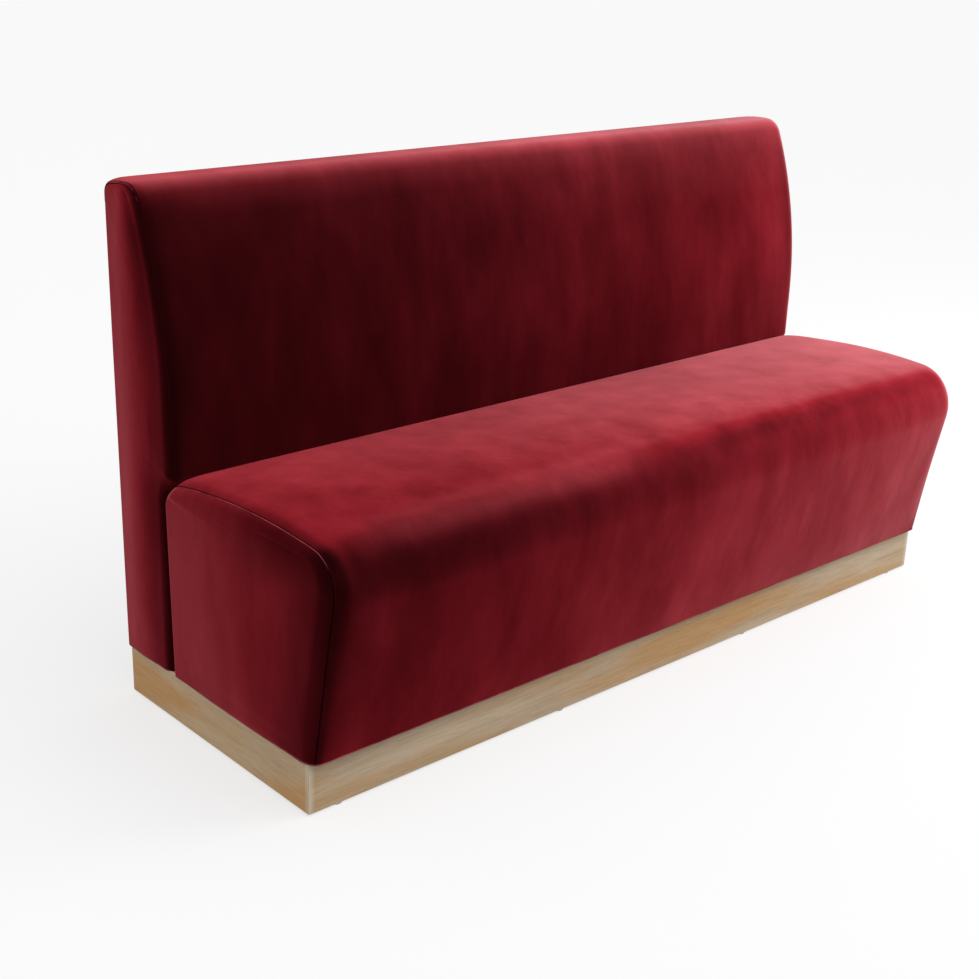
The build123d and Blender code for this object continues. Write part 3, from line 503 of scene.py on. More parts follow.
# The seat cushion is one foam form under three velvet panels: a wrap over nose, top and rear, and
# two end panels sewn to it. The cover is stapled under the frame, and the foam presses it out.
# All sizes of both blocks are in millimetres.
metre = 1000
mm = 0.001
end_x = 800.0
foot_z = 91.0
hem = 2.5
seat_front_y = -300.0
seat_rear_y = 153.0
seat_toe_y = -244.0
seat_heel_y = 146.0
seat_crest_y = -95.0
seat_height = 460.0
seat_crown_radius = 1300.0
seat_rear_radius = 48.0
seat_nose_radius = 75.0
left_nose_radius = 60.0
seat_crown = (seat_crest_y, seat_height - seat_crown_radius)
# How far the outline draws in at an end, and over which depth: top, toe, rear and both noses.
seat_top_end = (24, 30)
seat_toe_end = (30, 20)
seat_rear_end = (4, 4)
right_nose_end = (66, 46)
left_nose_end = (34, 34)
seat_seam = 9.0
seat_depths = (0, 0.15, 0.5, 1, 1.8, 2.8, 4, 5.5, 7, 9, 11, 13, 16, 20, 25, 31, 38, 46)
seat_full = seat_depths[-1]
ring_pitch = 20.0
end_bulge = 5.0
cloth_frames = 20
evening_passes = 48
# Points of the seat's outline: its toe, its crest, the crown's rear part and the rear's start.
toe_point = 4
seat_crest_point = 50
seat_crown_point = 66
seat_rear_point = 85
# Where the foam is pressed up in front of the back's lip.
pressed_height = 5.0
pressed_y = 100.0
pressed_reach = 55.0


def arc(centre, radius, start, end, count):
    """Points along an arc, both ends included."""
    points = []
    for step in range(count + 1):
        angle = math.radians(start + (end - start) * step / count)
        points.append((centre[0] + radius * math.cos(angle), centre[1] + radius * math.sin(angle)))
    return points


def touching(crown, reach, place):
    """Centre of a corner that touches a crown from inside, and the angle at which it does."""
    height = crown[1] + math.sqrt(reach**2 - (place - crown[0]) ** 2)
    return (place, height), math.degrees(math.atan2(height - crown[1], place - crown[0]))


def run(start, end, count):
    """Points along a straight run, its start left out."""
    return [
        (start[0] + (end[0] - start[0]) * step / count, start[1] + (end[1] - start[1]) * step / count)
        for step in range(1, count + 1)
    ]


def part_way(start, end, distance):
    span = math.hypot(end[0] - start[0], end[1] - start[1])
    return tuple(start[axis] + (end[axis] - start[axis]) * distance / span for axis in (0, 1))


def rounded_foot(before, corner, after):
    """A small round hem in place of a sharp lower corner."""
    start = part_way(corner, before, hem)
    end = part_way(corner, after, hem)
    points = []
    for step in range(5):
        share = step / 4
        weights = ((1 - share) ** 2, 2 * share * (1 - share), share**2)
        points.append(tuple(
            weights[0] * start[axis] + weights[1] * corner[axis] + weights[2] * end[axis]
            for axis in (0, 1)
        ))
    return points


def clipped(value):
    return min(1.0, max(0.0, value))


def drawn_in(end, depth):
    """How far an oval end, given as its reach and width, has drawn in at a depth."""
    reach, width = end
    if depth >= width:
        return 0.0
    return reach * (1 - math.sqrt(1 - ((width - depth) / width) ** 2))


def seat_ring(depth, left=False):
    """The seat's outline at a depth from its end: up the front, over nose and crown, down the rear.

    The left end is padded a little fuller at the nose than the right one, as photographed, and
    between the ends the foam is pressed up a little in front of the back's lip.
    """
    top_in = drawn_in(seat_top_end, depth)
    nose_in = drawn_in(left_nose_end if left else right_nose_end, depth)
    toe_in = drawn_in(seat_toe_end, depth)
    rear_in = drawn_in(seat_rear_end, depth)
    rear_radius = seat_rear_radius - top_in
    right_share = min(1.0, depth / seat_full) if left else 1.0
    nose_radius = left_nose_radius + (seat_nose_radius - left_nose_radius) * right_share - top_in
    rear_y = seat_rear_y - rear_in - rear_radius
    rear, rear_angle = touching(seat_crown, seat_crown_radius - seat_rear_radius, rear_y)
    nose_y = seat_front_y + nose_in + nose_radius
    nose, nose_angle = touching(seat_crown, seat_crown_radius - top_in - nose_radius, nose_y)
    toe = (seat_toe_y + toe_in, foot_z)
    heel = (seat_heel_y - rear_in, foot_z)
    span_y = nose[0] - toe[0]
    span_z = nose[1] - toe[1]
    rise = math.atan2(span_z, span_y) + math.asin(nose_radius / math.hypot(span_y, span_z))
    nose_arc = arc(nose, nose_radius, math.degrees(rise) + 90, nose_angle, 16)
    crown_arc = arc(seat_crown, seat_crown_radius - top_in, nose_angle, rear_angle, 30)
    rear_arc = arc(rear, rear_radius, rear_angle, 0, 12)
    front_foot = rounded_foot(heel, toe, nose_arc[0])
    rear_foot = rounded_foot(rear_arc[-1], heel, toe)
    pressed = pressed_height * clipped((depth - seat_seam) / (seat_full - seat_seam)) ** 0.6
    top = [
        (y, z + pressed * math.exp(-(((y - pressed_y) / pressed_reach) ** 2)) * clipped((z - 425.0) / 13.0))
        for y, z in crown_arc[1:] + rear_arc[1:]
    ]
    ring = front_foot + run(front_foot[-1], nose_arc[0], 24)
    ring += nose_arc[1:] + top
    return ring + run(rear_arc[-1], rear_foot[0], 22) + rear_foot[1:]


def places(corner_depths):
    """Places of the rings along the bench, each with its depth behind the nearer end."""
    last = corner_depths[-1]
    middle = round(2 * (end_x - last) / ring_pitch)
    row = [(depth - end_x, depth) for depth in corner_depths]
    row += [(last - end_x + 2 * (end_x - last) * step / middle, last) for step in range(1, middle)]
    return row + [(end_x - depth, depth) for depth in reversed(corner_depths)]


def block(name, rings, crest, seam):
    """A closed form through rings along the bench, with a crowned grid over each end.

    The crest is the number of the rings' point where both grids close. The end panels reach
    round to the seam, whose depth is given at every place of the outline.
    """
    count = len(rings[0][1])
    across_count = 14
    points = [(x, y, z) for x, ring in rings for y, z in ring]
    faces = []
    floor_rows = []
    for row, (x, ring) in enumerate(rings):
        first = row * count
        extra = len(points)
        points += [(x, y, z) for y, z in run(ring[-1], ring[0], across_count)[:-1]]
        floor_rows.append([first + count - 1, *range(extra, extra + across_count - 1), first])
    for row in range(len(rings) - 1):
        here = row * count
        there = here + count
        for step in range(count - 1):
            faces.append((here + step, here + step + 1, there + step + 1, there + step))
        low, high = floor_rows[row], floor_rows[row + 1]
        for step in range(across_count):
            faces.append((low[step], low[step + 1], high[step + 1], high[step]))
    for row, outward in ((0, -1), (len(rings) - 1, 1)):
        x, ring = rings[row]
        first = row * count
        rungs = [floor_rows[row][::-1]]
        rest = count - 1 - crest
        rung_count = max(crest, rest)
        for step in range(1, rung_count):
            front = round(step * crest / rung_count)
            rear = count - 1 - round(step * rest / rung_count)
            if front >= crest or rear <= crest:
                break
            extra = len(points)
            upward = min(1.0, 6 * step / rung_count) * min(1.0, 3.5 * (1 - step / rung_count))
            for place, (y, z) in enumerate(run(ring[front], ring[rear], across_count)[:-1], 1):
                share = place / across_count
                swell = end_bulge * (4 * share * (1 - share)) ** 1.5 * upward * (2 - upward)
                points.append((x + outward * swell, y, z))
            rungs.append([first + front, *range(extra, extra + across_count - 1), first + rear])
        for low, high in zip(rungs, rungs[1:]):
            for step in range(across_count):
                corners = (low[step], low[step + 1], high[step + 1], high[step])
                face = tuple(dict.fromkeys(corners))
                faces.append(face[::outward])
        for step in range(across_count):
            faces.append((rungs[-1][step], rungs[-1][step + 1], first + crest)[::outward])
    mesh = bpy.data.meshes.new(name)
    mesh.from_pydata([tuple(mm * c for c in p) for p in points], [], faces)
    skin = bmesh.new()
    skin.from_mesh(mesh)
    bmesh.ops.remove_doubles(skin, verts=skin.verts, dist=0.000001)
    bmesh.ops.recalc_face_normals(skin, faces=skin.faces)
    skin.to_mesh(mesh)
    skin.free()
    mesh.materials.append(velvet_wrap)
    mesh.materials.append(velvet_end)
    for polygon in mesh.polygons:
        polygon.use_smooth = True
        x, y, z = polygon.center * metre
        polygon.material_index = int(end_x - abs(x) < seam(y, z))
    return placed(name, mesh)


def paint_light_and_shade(piece, seam, corner, reaches, shade, painted_light_at):
    """Writes the painted shade and the painted light at every place of a cover.

    The shade is painted at the upright corners, strongest at the corner's points and fading out
    over one reach on the end panel and over another on the wrap. Each of the corner's points has
    a strength for either side. The shade at a place of the outline is the least painted shade
    there, and the last function says how much light is painted on the wrap at a place.
    """
    mesh = piece.data
    # This attribute holds the painted shade of the corners and of the face's foot.
    turned = mesh.attributes.new("turned_pile", "FLOAT", "POINT")
    # This attribute holds the painted light on the wrap.
    raised = mesh.attributes.new("raised_pile", "FLOAT", "POINT")
    tree = KDTree(len(corner))
    for index, (x, y, z, *strengths) in enumerate(corner):
        tree.insert((mm * x, mm * y, mm * z), index)
    tree.balance()
    for vertex in mesh.vertices:
        nearest, index, distance = tree.find(vertex.co)
        distance *= metre
        side = 0 if abs(vertex.co.x) > abs(nearest.x) else 1
        share = distance / reaches[side]
        value = corner[index][3 + side] * math.exp(-(share ** (3 - side)))
        value *= 0.78 + 0.22 * min(1.0, distance / 26)
        x, y, z = vertex.co * metre
        turned.data[vertex.index].value = max(value, shade(y, z))
        raised.data[vertex.index].value = painted_light_at(x, y, z) if end_x - abs(x) > seam(y, z) else 0.0


def pressed_out(piece, held, cap):
    """The foam presses the cover out between its seams: a short cloth simulation, applied to the mesh.

    Each place moves outward by no more than its cap, and the movement is evened out so that no
    crease stays from the simulation.
    """
    mesh = piece.data
    rest = [vertex.co.copy() for vertex in mesh.vertices]
    pins = piece.vertex_groups.new(name="held")
    pins.add([index for index, place in enumerate(rest) if held(place)], 1.0, "REPLACE")
    cloth = piece.modifiers.new("cloth", "CLOTH")
    for name, setting in (
        ("quality", 5), ("mass", 0.3), ("tension_stiffness", 12), ("compression_stiffness", 12),
        ("shear_stiffness", 4), ("bending_stiffness", 2), ("use_pressure", True),
        ("uniform_pressure_force", 4), ("vertex_group_mass", "held"),
    ):
        setattr(cloth.settings, name, setting)
    cloth.settings.effector_weights.gravity = 0
    cloth.collision_settings.use_collision = False
    cloth.collision_settings.use_self_collision = False
    cloth.point_cache.frame_start = 1
    cloth.point_cache.frame_end = cloth_frames
    scene = bpy.context.scene
    for frame_number in range(1, cloth_frames + 1):
        scene.frame_set(frame_number)
    shaped = piece.evaluated_get(bpy.context.evaluated_depsgraph_get())
    moved = [vertex.co.copy() for vertex in shaped.data.vertices]
    piece.modifiers.remove(cloth)
    piece.vertex_groups.clear()
    scene.frame_set(1)
    pushes = []
    for vertex, start, end in zip(mesh.vertices, rest, moved):
        limit = cap(start)
        push = end - start
        push -= vertex.normal * min(0.0, push.dot(vertex.normal))
        reach = push.length
        if reach > 0:
            push *= limit * math.tanh(reach / limit) / reach
        pushes.append(push)
    beside_it = [[] for _ in rest]
    for edge in mesh.edges:
        first, second = edge.vertices
        beside_it[first].append(second)
        beside_it[second].append(first)
    loose = [index for index, place in enumerate(rest) if not held(place)]
    for _ in range(evening_passes):
        evened = {}
        for index in loose:
            near = beside_it[index]
            evened[index] = (pushes[index] + sum((pushes[i] for i in near), Vector()) / len(near)) / 2
        for index, push in evened.items():
            pushes[index] = push
    for vertex, start, push in zip(mesh.vertices, rest, pushes):
        vertex.co = start + push
    mesh.update()
    subdivided = piece.modifiers.new("fine", "SUBSURF")
    subdivided.levels = 1
    subdivided.render_levels = 1


def line_object(name, lines, radius=0.0):
    """A curve through each line of points, as a round bar when it has a radius."""
    curve = bpy.data.curves.new(name, "CURVE")
    curve.dimensions = "3D"
    curve.bevel_depth = radius
    curve.bevel_resolution = 2
    curve.use_fill_caps = radius > 0
    for line in lines:
        spline = curve.splines.new("POLY")
        spline.points.add(len(line) - 1)
        for point, place in zip(spline.points, line):
            point.co = (*place, 1)
    return placed(name, curve)


def plain_mesh(maker, name, material):
    """The finished mesh of a curve or of its modifiers, as a piece of its own."""
    bpy.context.view_layer.update()
    shaped = maker.evaluated_get(bpy.context.evaluated_depsgraph_get())
    mesh = bpy.data.meshes.new_from_object(shaped)
    mesh.name = name
    mesh.materials.clear()
    mesh.materials.append(material)
    for polygon in mesh.polygons:
        polygon.use_smooth = True
    bpy.data.objects.remove(maker)
    piece = placed(name, mesh)
    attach(piece, "root")


def on_surface(surface, spots, lift):
    """The nearest places on a cover to some spots, raised by a lift, with its outward directions."""
    found, outwards = [], []
    for spot in spots:
        _, place, outward, _ = surface.closest_point_on_mesh(spot)
        found.append(place + outward * lift)
        outwards.append(outward)
    return found, outwards


def beside(line, outwards, offset):
    """A line moved sideways along the surface that it lies on."""
    moved = []
    for index, place in enumerate(line):
        before = line[max(index - 1, 0)]
        after = line[min(index + 1, len(line) - 1)]
        moved.append(place + (after - before).cross(outwards[index]).normalized() * offset)
    return moved


def sewn(piece, name, spots_by_end, welt, groove_shades, stitch_offset):
    """The welt, the dark lines of painted shade beside it, and the stitches of like seams on one cover.

    The welt, over the seam's turned allowance, has a radius, a depth in the cover, an offset and
    a material. Offsets are measured along the cover from the seam, those towards the end panel
    below zero.
    """
    bpy.context.view_layer.update()
    surface = piece.evaluated_get(bpy.context.evaluated_depsgraph_get())
    welts, groove_shade_lines, stitch_lines = [], [], []
    for side, spots in spots_by_end:
        seam, outwards = on_surface(surface, spots, 0.0)
        if welt:
            welts.append(on_surface(surface, beside(seam, outwards, -side * welt[2]), -welt[1])[0])
        # Each offset gets a dark line sunk into the cover: painted shade in the groove beside the seam.
        for offset in groove_shades:
            groove_shade_lines.append(on_surface(surface, beside(seam, outwards, -side * offset), -0.0005)[0])
        stitch_lines.append(on_surface(surface, beside(seam, outwards, -side * stitch_offset), 0.0)[0])
    if welt:
        plain_mesh(line_object(f"{name}_welts", welts, welt[0]), f"{name}_welts", welt[3])
    plain_mesh(line_object(f"{name}_tucks", groove_shade_lines, 0.0008), f"{name}_tucks", painted_groove_shade)
    rows_maker = line_object(f"{name}_stitches", stitch_lines)
    sewing = rows_maker.modifiers.new("stitches", "NODES")
    sewing.node_group = stitch_tree
    for item in stitch_tree.interface.items_tree:
        if item.name == "Thread":
            sewing[item.identifier] = sewing_thread
    plain_mesh(rows_maker, f"{name}_stitches", sewing_thread)


def seat_seam_at(y, z):
    """Depth of the seat's end seam, the same all round."""
    return seat_seam


def seat_painted_light(x, y, z):
    """Painted light along the nose's upper edge: lighter on the left and darker on the right."""
    if y > -200:
        return 0.0
    over_nose = math.exp(-(((z - 441.0) / 12.0) ** 2)) * min(1.0, (-200.0 - y) / 25.0)
    return over_nose * max(-0.9, min(0.62, (-80.0 - x) / 260.0, (x + 750.0) / 200.0))


def seat_held(place):
    at_seam = abs(abs(place.x) * metre - (end_x - seat_seam)) < 0.6
    return at_seam or place.z * metre < foot_z + hem + 1 or place.y * metre > 140.0


def seat_cap(place):
    """The cover gives way less near the rear, and least at the rear of the end panels."""
    fading = 0.060 if end_x - abs(place.x) * metre < seat_seam else 0.018
    return 0.006 * min(1.0, max(0.2, (0.140 - place.y) / fading))


# Painted shade at the seat's upright front corners, with a strength on the end panel and on the wrap at
# each point of the seam.
seat_corner_shade = []
for side in (-1, 1):
    for y, z in seat_ring(seat_seam, side < 0)[:seat_crown_point]:
        on_end = 1.12 * clipped(max((430.0 - z) / 30.0, (105.0 - y) / 300.0))
        on_wrap = 0.95 * clipped((432.0 - z) / 60.0)
        seat_corner_shade.append((side * (end_x - seat_seam), y, z, on_end, on_wrap))
seat_rings = [(x, seat_ring(depth, x < 0)) for x, depth in places(seat_depths)]
seat = block("seat_upholstery", seat_rings, seat_crest_point, seat_seam_at)
paint_light_and_shade(seat, seat_seam_at, seat_corner_shade, (82.0, 18.0), lambda y, z: 0.0, seat_painted_light)
pressed_out(seat, seat_held, seat_cap)
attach(seat, "root")
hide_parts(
    "seat_wrap_cover", "seat_left_end_cover", "seat_right_end_cover",
    "seat_foam_slab", "seat_front_foam", "seat_left_end_pad", "seat_right_end_pad",
)
seat_spots = [
    (side, [
        Vector((side * (end_x - seat_seam), y, z)) * mm
        for y, z in seat_ring(seat_seam, side < 0)[toe_point:seat_rear_point]
    ])
    for side in (-1, 1)
]
sewn(seat, "seat_end_seams", seat_spots, (0.00062, -0.0002, 0.0, seat_fold), (0.0014,), 0.0026)

# The back cushion has a curved face, a rounded top and a lip that sits over the seat. Its velvet
# is a wrap over face and top, two end panels sewn to it, and a flat panel over the rear.
back_height = 907.0
back_rear_y = 300.0
back_toe_y = 154.0
back_crest_y = 250.0
back_crown_radius = 250.0
back_rear_radius = 18.0
back_front_radius = 36.0
back_front_y = 233.0
face_y = 130.0
face_z = 540.0
lip_full_radius = 20.0
cradle_radius = seat_rear_radius + 1.0
back_crown = (back_crest_y, back_height - back_crown_radius)
# How far the outline draws in at an end, and over which depth: face, top and rear.
face_end = (21, 22)
back_top_end = (10, 30)
back_rear_end = (5, 5)
back_seam_depth = 8.0
rear_panel_x = 793.0
rear_panel_top = 868.7
back_depths = (0, 0.15, 0.5, 1, 1.8, 2.8, 4, 5.5, 7, 9, 11, 14, 17, 22, 30)
# Points of the back's outline: its crest, the crown's start and those that an end seam follows.
back_crest_point = 80
back_crown_point = 90
back_seam_points = range(30, 162)


def back_ring(depth):
    """The back's outline at a depth from its end: up the face, over the top, down the rear.

    The front corner lies at one distance from the crown's centre and at another from the face's.
    """
    face_in = drawn_in(face_end, depth)
    top_in = drawn_in(back_top_end, depth)
    rear_in = drawn_in(back_rear_end, depth)
    rear_y = back_rear_y - rear_in - back_rear_radius
    rear, rear_angle = touching(back_crown, back_crown_radius - back_rear_radius - top_in, rear_y)
    full, _ = touching(back_crown, back_crown_radius - back_front_radius, back_front_y)
    lean = full[0] - face_y
    lift = full[1] - face_z
    face_radius = (lean**2 + lift**2 - back_front_radius**2) / (2 * (lean - back_front_radius))
    face = (face_y + face_radius, face_z)
    front_radius = back_front_radius + 6.0 * max(0.0, 1 - depth / 30) ** 2
    first = back_crown_radius - top_in - front_radius
    second = face_radius - face_in - front_radius
    apart = math.hypot(face[0] - back_crown[0], face[1] - back_crown[1])
    foot = (first**2 - second**2 + apart**2) / (2 * apart)
    side = math.sqrt(first**2 - foot**2)
    aim = ((face[0] - back_crown[0]) / apart, (face[1] - back_crown[1]) / apart)
    front = (
        back_crown[0] + foot * aim[0] - side * aim[1],
        back_crown[1] + foot * aim[1] + side * aim[0],
    )
    face_angle = math.degrees(math.atan2(front[1] - face[1], front[0] - face[0]))
    front_angle = math.degrees(math.atan2(front[1] - back_crown[1], front[0] - back_crown[0]))
    cradle_y = seat_rear_y - seat_rear_radius
    cradle = touching(seat_crown, seat_crown_radius - seat_rear_radius, cradle_y)[0]
    lip_radius = max(lip_full_radius - face_in, 3.0)
    lip_y = face_y + face_in + lip_radius
    lip_rise = math.sqrt((cradle_radius + face_in + lip_radius) ** 2 - (lip_y - cradle_y) ** 2)
    lip = (lip_y, cradle[1] + lip_rise)
    lip_angle = math.degrees(math.atan2(lip_rise, lip_y - cradle_y))
    toe = (back_toe_y + face_in, foot_z)
    heel = (back_rear_y - rear_in, foot_z)
    cradle_arc = arc(cradle, cradle_radius + face_in, 0, lip_angle, 8)
    lip_arc = arc(lip, lip_radius, 180 + lip_angle, 180, 8)
    face_line = run(lip_arc[-1], (face_y + face_in, face_z), 6)
    face_arc = arc(face, face_radius - face_in, 180, face_angle, 26)
    front_arc = arc(front, front_radius, face_angle, front_angle, 10)
    crown_arc = arc(back_crown, back_crown_radius - top_in, front_angle, rear_angle, 8)
    rear_arc = arc(rear, back_rear_radius, rear_angle, 0, 10)
    front_foot = rounded_foot(heel, toe, cradle_arc[0])
    rear_foot = rounded_foot(rear_arc[-1], heel, toe)
    ring = front_foot + run(front_foot[-1], cradle_arc[0], 22)
    ring += cradle_arc[1:] + lip_arc[1:] + face_line + face_arc[1:]
    ring += front_arc[1:] + crown_arc[1:] + rear_arc[1:]
    return ring + run(rear_arc[-1], rear_foot[0], 60) + rear_foot[1:]


def back_seam(y, z):
    """Depth of the end seam, a little less at the rear than over the face and top."""
    return back_seam_depth - 4.5 * clipped((y - 240.0) / 55.0)


def back_shade(y, z):
    """Painted shade at the foot of the face, where it lies in its own shade."""
    return 0.68 * clipped((640.0 - z) / 120.0) if y < 190 else 0.0


def back_painted_light(x, y, z):
    """Painted highlight over the rounded top edge, and a little on the upper face, most at the right."""
    shorter = 2.5 * math.exp(-(((x + 790.0) / 60.0) ** 2))
    down_face = clipped((z - 846.0) / 50.0) ** (1.4 + shorter)
    upper_face = clipped((z - 760.0) / 80.0) * (0.07 + 0.28 * clipped((x + 200.0) / 900.0))
    return (down_face + upper_face * (1 - down_face)) * clipped(1 - (y - 215.0) / 85.0)


def back_held(place):
    y, z = place.y * metre, place.z * metre
    at_seam = abs(end_x - abs(place.x) * metre - back_seam(y, z)) < 0.9
    hidden = y > 298.5 or (z < 440 and y < 160)
    return at_seam or hidden or z < foot_z + hem + 1


# Painted shade at the back's upright front corners, fading out near the top.
back_corner_shade = []
for side in (-1, 1):
    for y, z in back_ring(back_seam_depth)[:back_crown_point]:
        strength = clipped((895.0 - z) / 50.0)
        back_corner_shade.append((side * (end_x - back_seam_depth), y, z, strength, strength))
back_rings = [(x, back_ring(depth)) for x, depth in places(back_depths)]
back = block("back_upholstery", back_rings, back_crest_point, back_seam)
paint_light_and_shade(back, back_seam, back_corner_shade, (50.0, 36.0), back_shade, back_painted_light)
pressed_out(back, back_held, lambda place: 0.0018)
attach(back, "root")
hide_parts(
    "back_wrap_cover", "back_left_end_cover", "back_right_end_cover", "back_rear_cover",
    "back_front_foam", "back_top_foam", "back_left_end_pad", "back_right_end_pad",
)
back_spots = []
top_spots = []
for side in (-1, 1):
    spots = []
    for index in back_seam_points:
        depth = back_seam(*back_ring(5)[index])
        y, z = back_ring(depth)[index]
        if z > 500.0:
            spots.append(Vector((side * (end_x - depth), y, z)) * mm)
    back_spots.append((side, spots))
    top_spots.append((side, [spot for spot in spots if spot.z > 0.868]))
sewn(back, "back_end_seams", back_spots, None, (0.0,), -0.0016)
sewn(back, "back_top_seams", top_spots, (0.0030, 0.0025, -0.0033, back_fold), (-0.0066,), -0.0080)
rear_spots = [(-rear_panel_x, z) for z in range(100, 869, 12)]
rear_spots += [(x, rear_panel_top) for x in range(-787, 788, 12)]
rear_spots += [(rear_panel_x, z) for z in range(864, 99, -12)]
rear_spots = [Vector((mm * x, mm * back_rear_y, mm * z)) for x, z in rear_spots]
sewn(back, "back_rear_seam", [(1, rear_spots)], (0.0010, 0.0003, 0.0, back_fold), (-0.0019, 0.0019), 0.0030)

# The lower edge of both covers is folded under and stapled, and the fold stands out a little, its paler
# colour partly a painted highlight.
# It shows all round the seat's front and ends, and at the back's two ends.
hem_radius = 0.0011
seat_toe = seat_ring(0)[toe_point]
hem_rear_y = 140.0
left_hem = [
    (-end_x, hem_rear_y + (seat_toe[0] - hem_rear_y) * step / 12, seat_toe[1]) for step in range(12)
]
left_hem += [(depth - end_x, *seat_ring(depth)[toe_point]) for depth in seat_depths]
right_hem = [(-x, y, z) for x, y, z in reversed(left_hem)]
start_x, hem_y, hem_z = left_hem[-1]
front_hem = [(start_x * (1 - step / 20), hem_y, hem_z) for step in range(1, 40)]
back_ends = [[(side * end_x, y, 93.0) for y in (165, 200, 240, 280, 294)] for side in (-1, 1)]
for cover, name, lines in (
    (seat, "seat_hem", [left_hem + front_hem + right_hem]),
    (back, "back_hem", back_ends),
):
    bpy.context.view_layer.update()
    surface = cover.evaluated_get(bpy.context.evaluated_depsgraph_get())
    folds = [on_surface(surface, [Vector(place) * mm for place in line], -0.0002)[0] for line in lines]
    plain_mesh(line_object(name, folds, hem_radius), name, velvet_hem)


# Frames and cross rails are planed softwood boards, glued and screwed, with the grain along each.
# A few knots show, and the growth rings run out into long bands.
def softwood(name, along):
    finish = Finish(name)
    growth = finish.noise(grained(along, 0.35, 5), 6, 2, 0.5)
    rings = finish.math("FRACT", growth * 9.0)
    fibre = finish.noise(grained(along, 1.0, 26), 12, 5, 0.6)
    knot_sockets = {"Vector": finish.place(grained(along, 0.5, 1.3)), "Scale": 5.0, "Randomness": 1.0}
    knots = finish.node("ShaderNodeTexVoronoi", {}, knot_sockets, "Distance")
    colour = finish.ramp(
        rings, [(0.1, (0.72, 0.55, 0.33)), (0.75, (0.62, 0.43, 0.22)), (0.95, (0.50, 0.30, 0.13))]
    )
    streak = finish.ramp(fibre, [(0.3, (0.75, 0.70, 0.62)), (0.7, (1.05, 1.03, 1.0))])
    colour = finish.blend(0.5, colour, streak, "MULTIPLY")
    knot = finish.ramp(knots, [(0.03, grey(1)), (0.075, grey(0))])
    return finish.surface({
        "Base Color": finish.blend(knot, colour, (0.20, 0.095, 0.04, 1)),
        "Roughness": finish.ramp(fibre, [(0.2, grey(0.75)), (0.8, grey(0.6))]),
        "Specular IOR Level": 0.3,
        "Normal": finish.bump(fibre + rings * 0.4, 0.0005, 0.5),
    })


dress(
    softwood("pine_lengthwise", 0),
    "back_front_bottom_rail", "back_middle_rail", "back_rear_bottom_rail", "back_seat_rail",
    "back_top_rail", "seat_front_bottom_rail", "seat_front_top_rail", "seat_rear_bottom_rail",
    "seat_rear_top_rail",
)
dress(
    softwood("pine_crosswise", 1),
    "plinth_left_cross_rail", "plinth_middle_cross_rail", "plinth_right_cross_rail",
)
dress(
    softwood("pine_upright", 2),
    "back_left_gable", "back_right_gable", "back_left_rib", "back_right_rib", "seat_left_gable",
    "seat_right_gable", "seat_left_rib", "seat_right_rib", "plinth_corner_blocks",
)

# Thin panels of pressed fibre and plywood close the frames at the front and rear.
# They are nailed to the rails, and their brown face is flecked.
panel_finish = Finish("fibre_panel")
flecks = panel_finish.noise((1, 1, 1), 260, 4, 0.7)
cloudy = panel_finish.noise((1, 1, 1), 6, 3, 0.5)
panel_colour = panel_finish.ramp(cloudy, [(0.3, (0.20, 0.105, 0.05)), (0.7, (0.28, 0.16, 0.08))])
flecked = panel_finish.ramp(flecks, [(0.35, (0.6, 0.55, 0.5)), (0.65, (1.3, 1.25, 1.2))])
dress(panel_finish.surface({
    "Base Color": panel_finish.blend(0.6, panel_colour, flecked, "MULTIPLY"),
    "Roughness": panel_finish.ramp(flecks, [(0.3, grey(0.5)), (0.7, grey(0.8))]),
    "Normal": panel_finish.bump(flecks, 0.0003, 0.5),
}), "seat_front_panel", "seat_rear_panel", "back_lower_panel", "back_rear_panel")


# Elastic webbing straps carry the foam, stapled to the rails under tension.
# They are woven in ribs across their length, with two darker warp stripes.
def strap_weave(name, along):
    finish = Finish(name)
    sideways = finish.coordinate("X")
    ribs = finish.math("SINE", finish.coordinate(along) * 2800.0)
    warp = finish.math("SINE", sideways * 3500.0)
    weave = ribs * warp * 0.5 + 0.5
    stripes = finish.math("PINGPONG", sideways + 1.0 - 0.025, 0.065)
    band = finish.math("FRACT", stripes * 60.0)
    worn = finish.noise((1, 1, 1), 30, 3, 0.5)
    striped = finish.ramp(band, [(0.70, grey(0)), (0.74, grey(1))])
    colour = finish.blend(striped, (0.50, 0.44, 0.34, 1), (0.10, 0.09, 0.085, 1))
    ribbed = finish.ramp(weave, [(0.1, grey(0.55)), (0.9, grey(1.1))])
    colour = finish.blend(0.8, colour, ribbed, "MULTIPLY")
    faded = finish.ramp(worn, [(0.3, grey(0.8)), (0.7, grey(1.0))])
    return finish.surface({
        "Base Color": finish.blend(0.4, colour, faded, "MULTIPLY"),
        "Roughness": finish.ramp(worn, [(0.3, grey(0.7)), (0.7, grey(0.9))]),
        "Normal": finish.bump(weave, 0.0004, 0.8),
    })


dress(strap_weave("strap_weave_level", "Y"), "seat_webbing")
dress(strap_weave("strap_weave_upright", "Z"), "back_webbing")

# A grey needled felt lies over the seat's straps and keeps them from chafing the foam.
# It is made of mixed fibres, so it is mottled and tufted.
felt_finish = Finish("needled_felt")
tufts = felt_finish.noise((1, 1, 1), 420, 4, 0.75)
mottle = felt_finish.noise((1, 1, 1), 24, 3, 0.6)
felt_colour = felt_finish.ramp(mottle, [(0.3, (0.17, 0.16, 0.155)), (0.7, (0.30, 0.285, 0.27))])
tufted = felt_finish.ramp(tufts, [(0.35, grey(0.5)), (0.65, grey(1.3))])
dress(felt_finish.surface({
    "Base Color": felt_finish.blend(0.7, felt_colour, tufted, "MULTIPLY"),
    "Roughness": felt_finish.ramp(tufts, [(0.3, grey(0.85)), (0.7, grey(1.0))]),
    "Normal": felt_finish.bump(tufts, 0.0008, 0.9),
}), "seat_felt")

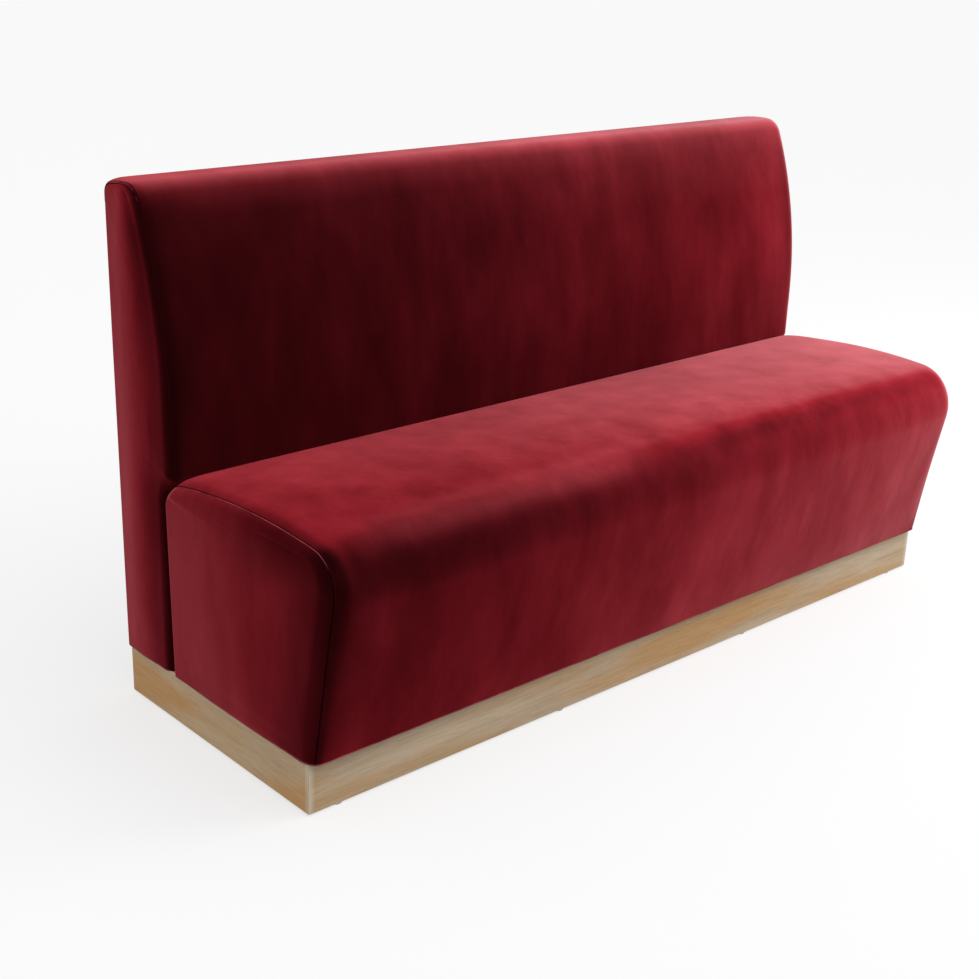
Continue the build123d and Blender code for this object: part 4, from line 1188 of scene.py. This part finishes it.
# Black spunbonded lining closes the frames from below. It is tacked along the plinth and hangs
# a little between the cross rails.
lining_finish = Finish("spunbonded_lining")
threads = lining_finish.noise((1, 1, 1), 500, 3, 0.7)
pressed_sockets = {"Vector": lining_finish.place((1, 1, 0)), "Scale": 380.0, "Randomness": 0.15}
spots_pressed = lining_finish.node("ShaderNodeTexVoronoi", {}, pressed_sockets, "Distance")
lining = lining_finish.surface({
    "Base Color": lining_finish.ramp(threads, [(0.3, (0.010, 0.010, 0.011)), (0.7, (0.034, 0.034, 0.036))]),
    "Roughness": lining_finish.ramp(threads, [(0.3, grey(0.7)), (0.7, grey(0.9))]),
    "Normal": lining_finish.bump(spots_pressed + threads * 0.5, 0.0003, 0.7),
})
cover_low, cover_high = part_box("dust_cover")
lining_size = (cover_high.x - cover_low.x, cover_high.y - cover_low.y)
lining_thickness = 0.0006
lining_sag = 0.0022
tacked_width = 0.045
loosening = 0.08
rail_x = 0.5
columns, lines_down = 129, 41


def lining_hang(x, y):
    """How far the lining hangs between the rails and the boards that hold it."""
    from_board = min(y - cover_low.y, cover_high.y - y)
    if abs(x) < rail_x:
        bay = abs(math.sin(math.pi * (x + rail_x) / rail_x))
    else:
        bay = math.sin(math.pi * min(1.0, (cover_high.x - abs(x)) / (cover_high.x - rail_x)))
    return lining_sag * max(0.0, bay - 0.25) * clipped((from_board - tacked_width) / loosening)


lining_points = []
for row in range(lines_down):
    for column in range(columns):
        x = cover_low.x + lining_size[0] * column / (columns - 1)
        y = cover_low.y + lining_size[1] * row / (lines_down - 1)
        lining_points.append((x, y, cover_high.z - 0.0004 - lining_hang(x, y)))
lining_faces = [
    (start, start + 1, start + columns + 1, start + columns)
    for row in range(lines_down - 1)
    for start in range(row * columns, row * columns + columns - 1)
]
lining_mesh = bpy.data.meshes.new("lining_sheet")
lining_mesh.from_pydata(lining_points, [], lining_faces)
lining_mesh.materials.append(lining)
for polygon in lining_mesh.polygons:
    polygon.use_smooth = True
lining_sheet = placed("lining_sheet", lining_mesh)
thickened = lining_sheet.modifiers.new("thickness", "SOLIDIFY")
thickened.thickness = lining_thickness
thickened.offset = 0
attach(lining_sheet, "root")
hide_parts("dust_cover")

# Screws, bolts, nuts, washers and angles are zinc-plated steel, a little dulled by handling.
# The screws and bolts hold the frames to one another and, through the angles, to the plinth.
steel_finish = Finish("zinc_plated_steel")
spangle = steel_finish.noise((1, 1, 1), 90, 3, 0.6)
scratches = steel_finish.noise((1, 1, 14), 260, 2, 0.5)
steel = steel_finish.surface({
    "Base Color": steel_finish.ramp(spangle, [(0.3, (0.50, 0.51, 0.54)), (0.7, (0.66, 0.66, 0.64))]),
    "Metallic": steel_finish.ramp(spangle, [(0.2, grey(0.95)), (0.8, grey(1.0))]),
    "Roughness": steel_finish.ramp(scratches, [(0.3, grey(0.28)), (0.7, grey(0.48))]),
    "Normal": steel_finish.bump(scratches, 0.0001, 0.5),
})
dress(
    steel, "angle_screws", "plinth_angles", "frame_bolts", "frame_nuts", "frame_washers",
    "seat_frame_screws", "back_frame_screws",
)

# The glides are nail-in discs of pale moulded nylon with a fine sparked face.
# They are driven into the plinth's lower edges and scuffed by the floor.
nylon_finish = Finish("moulded_nylon")
sparked = nylon_finish.noise((1, 1, 1), 900, 2, 0.6)
scuffs = nylon_finish.noise((1, 1, 1), 40, 3, 0.6)
dress(nylon_finish.surface({
    "Base Color": nylon_finish.ramp(scuffs, [(0.35, (0.50, 0.49, 0.46)), (0.7, (0.62, 0.61, 0.58))]),
    "Roughness": nylon_finish.ramp(scuffs, [(0.3, grey(0.42)), (0.7, grey(0.62))]),
    "Normal": nylon_finish.bump(sparked, 0.0002, 0.6),
}), "glides")
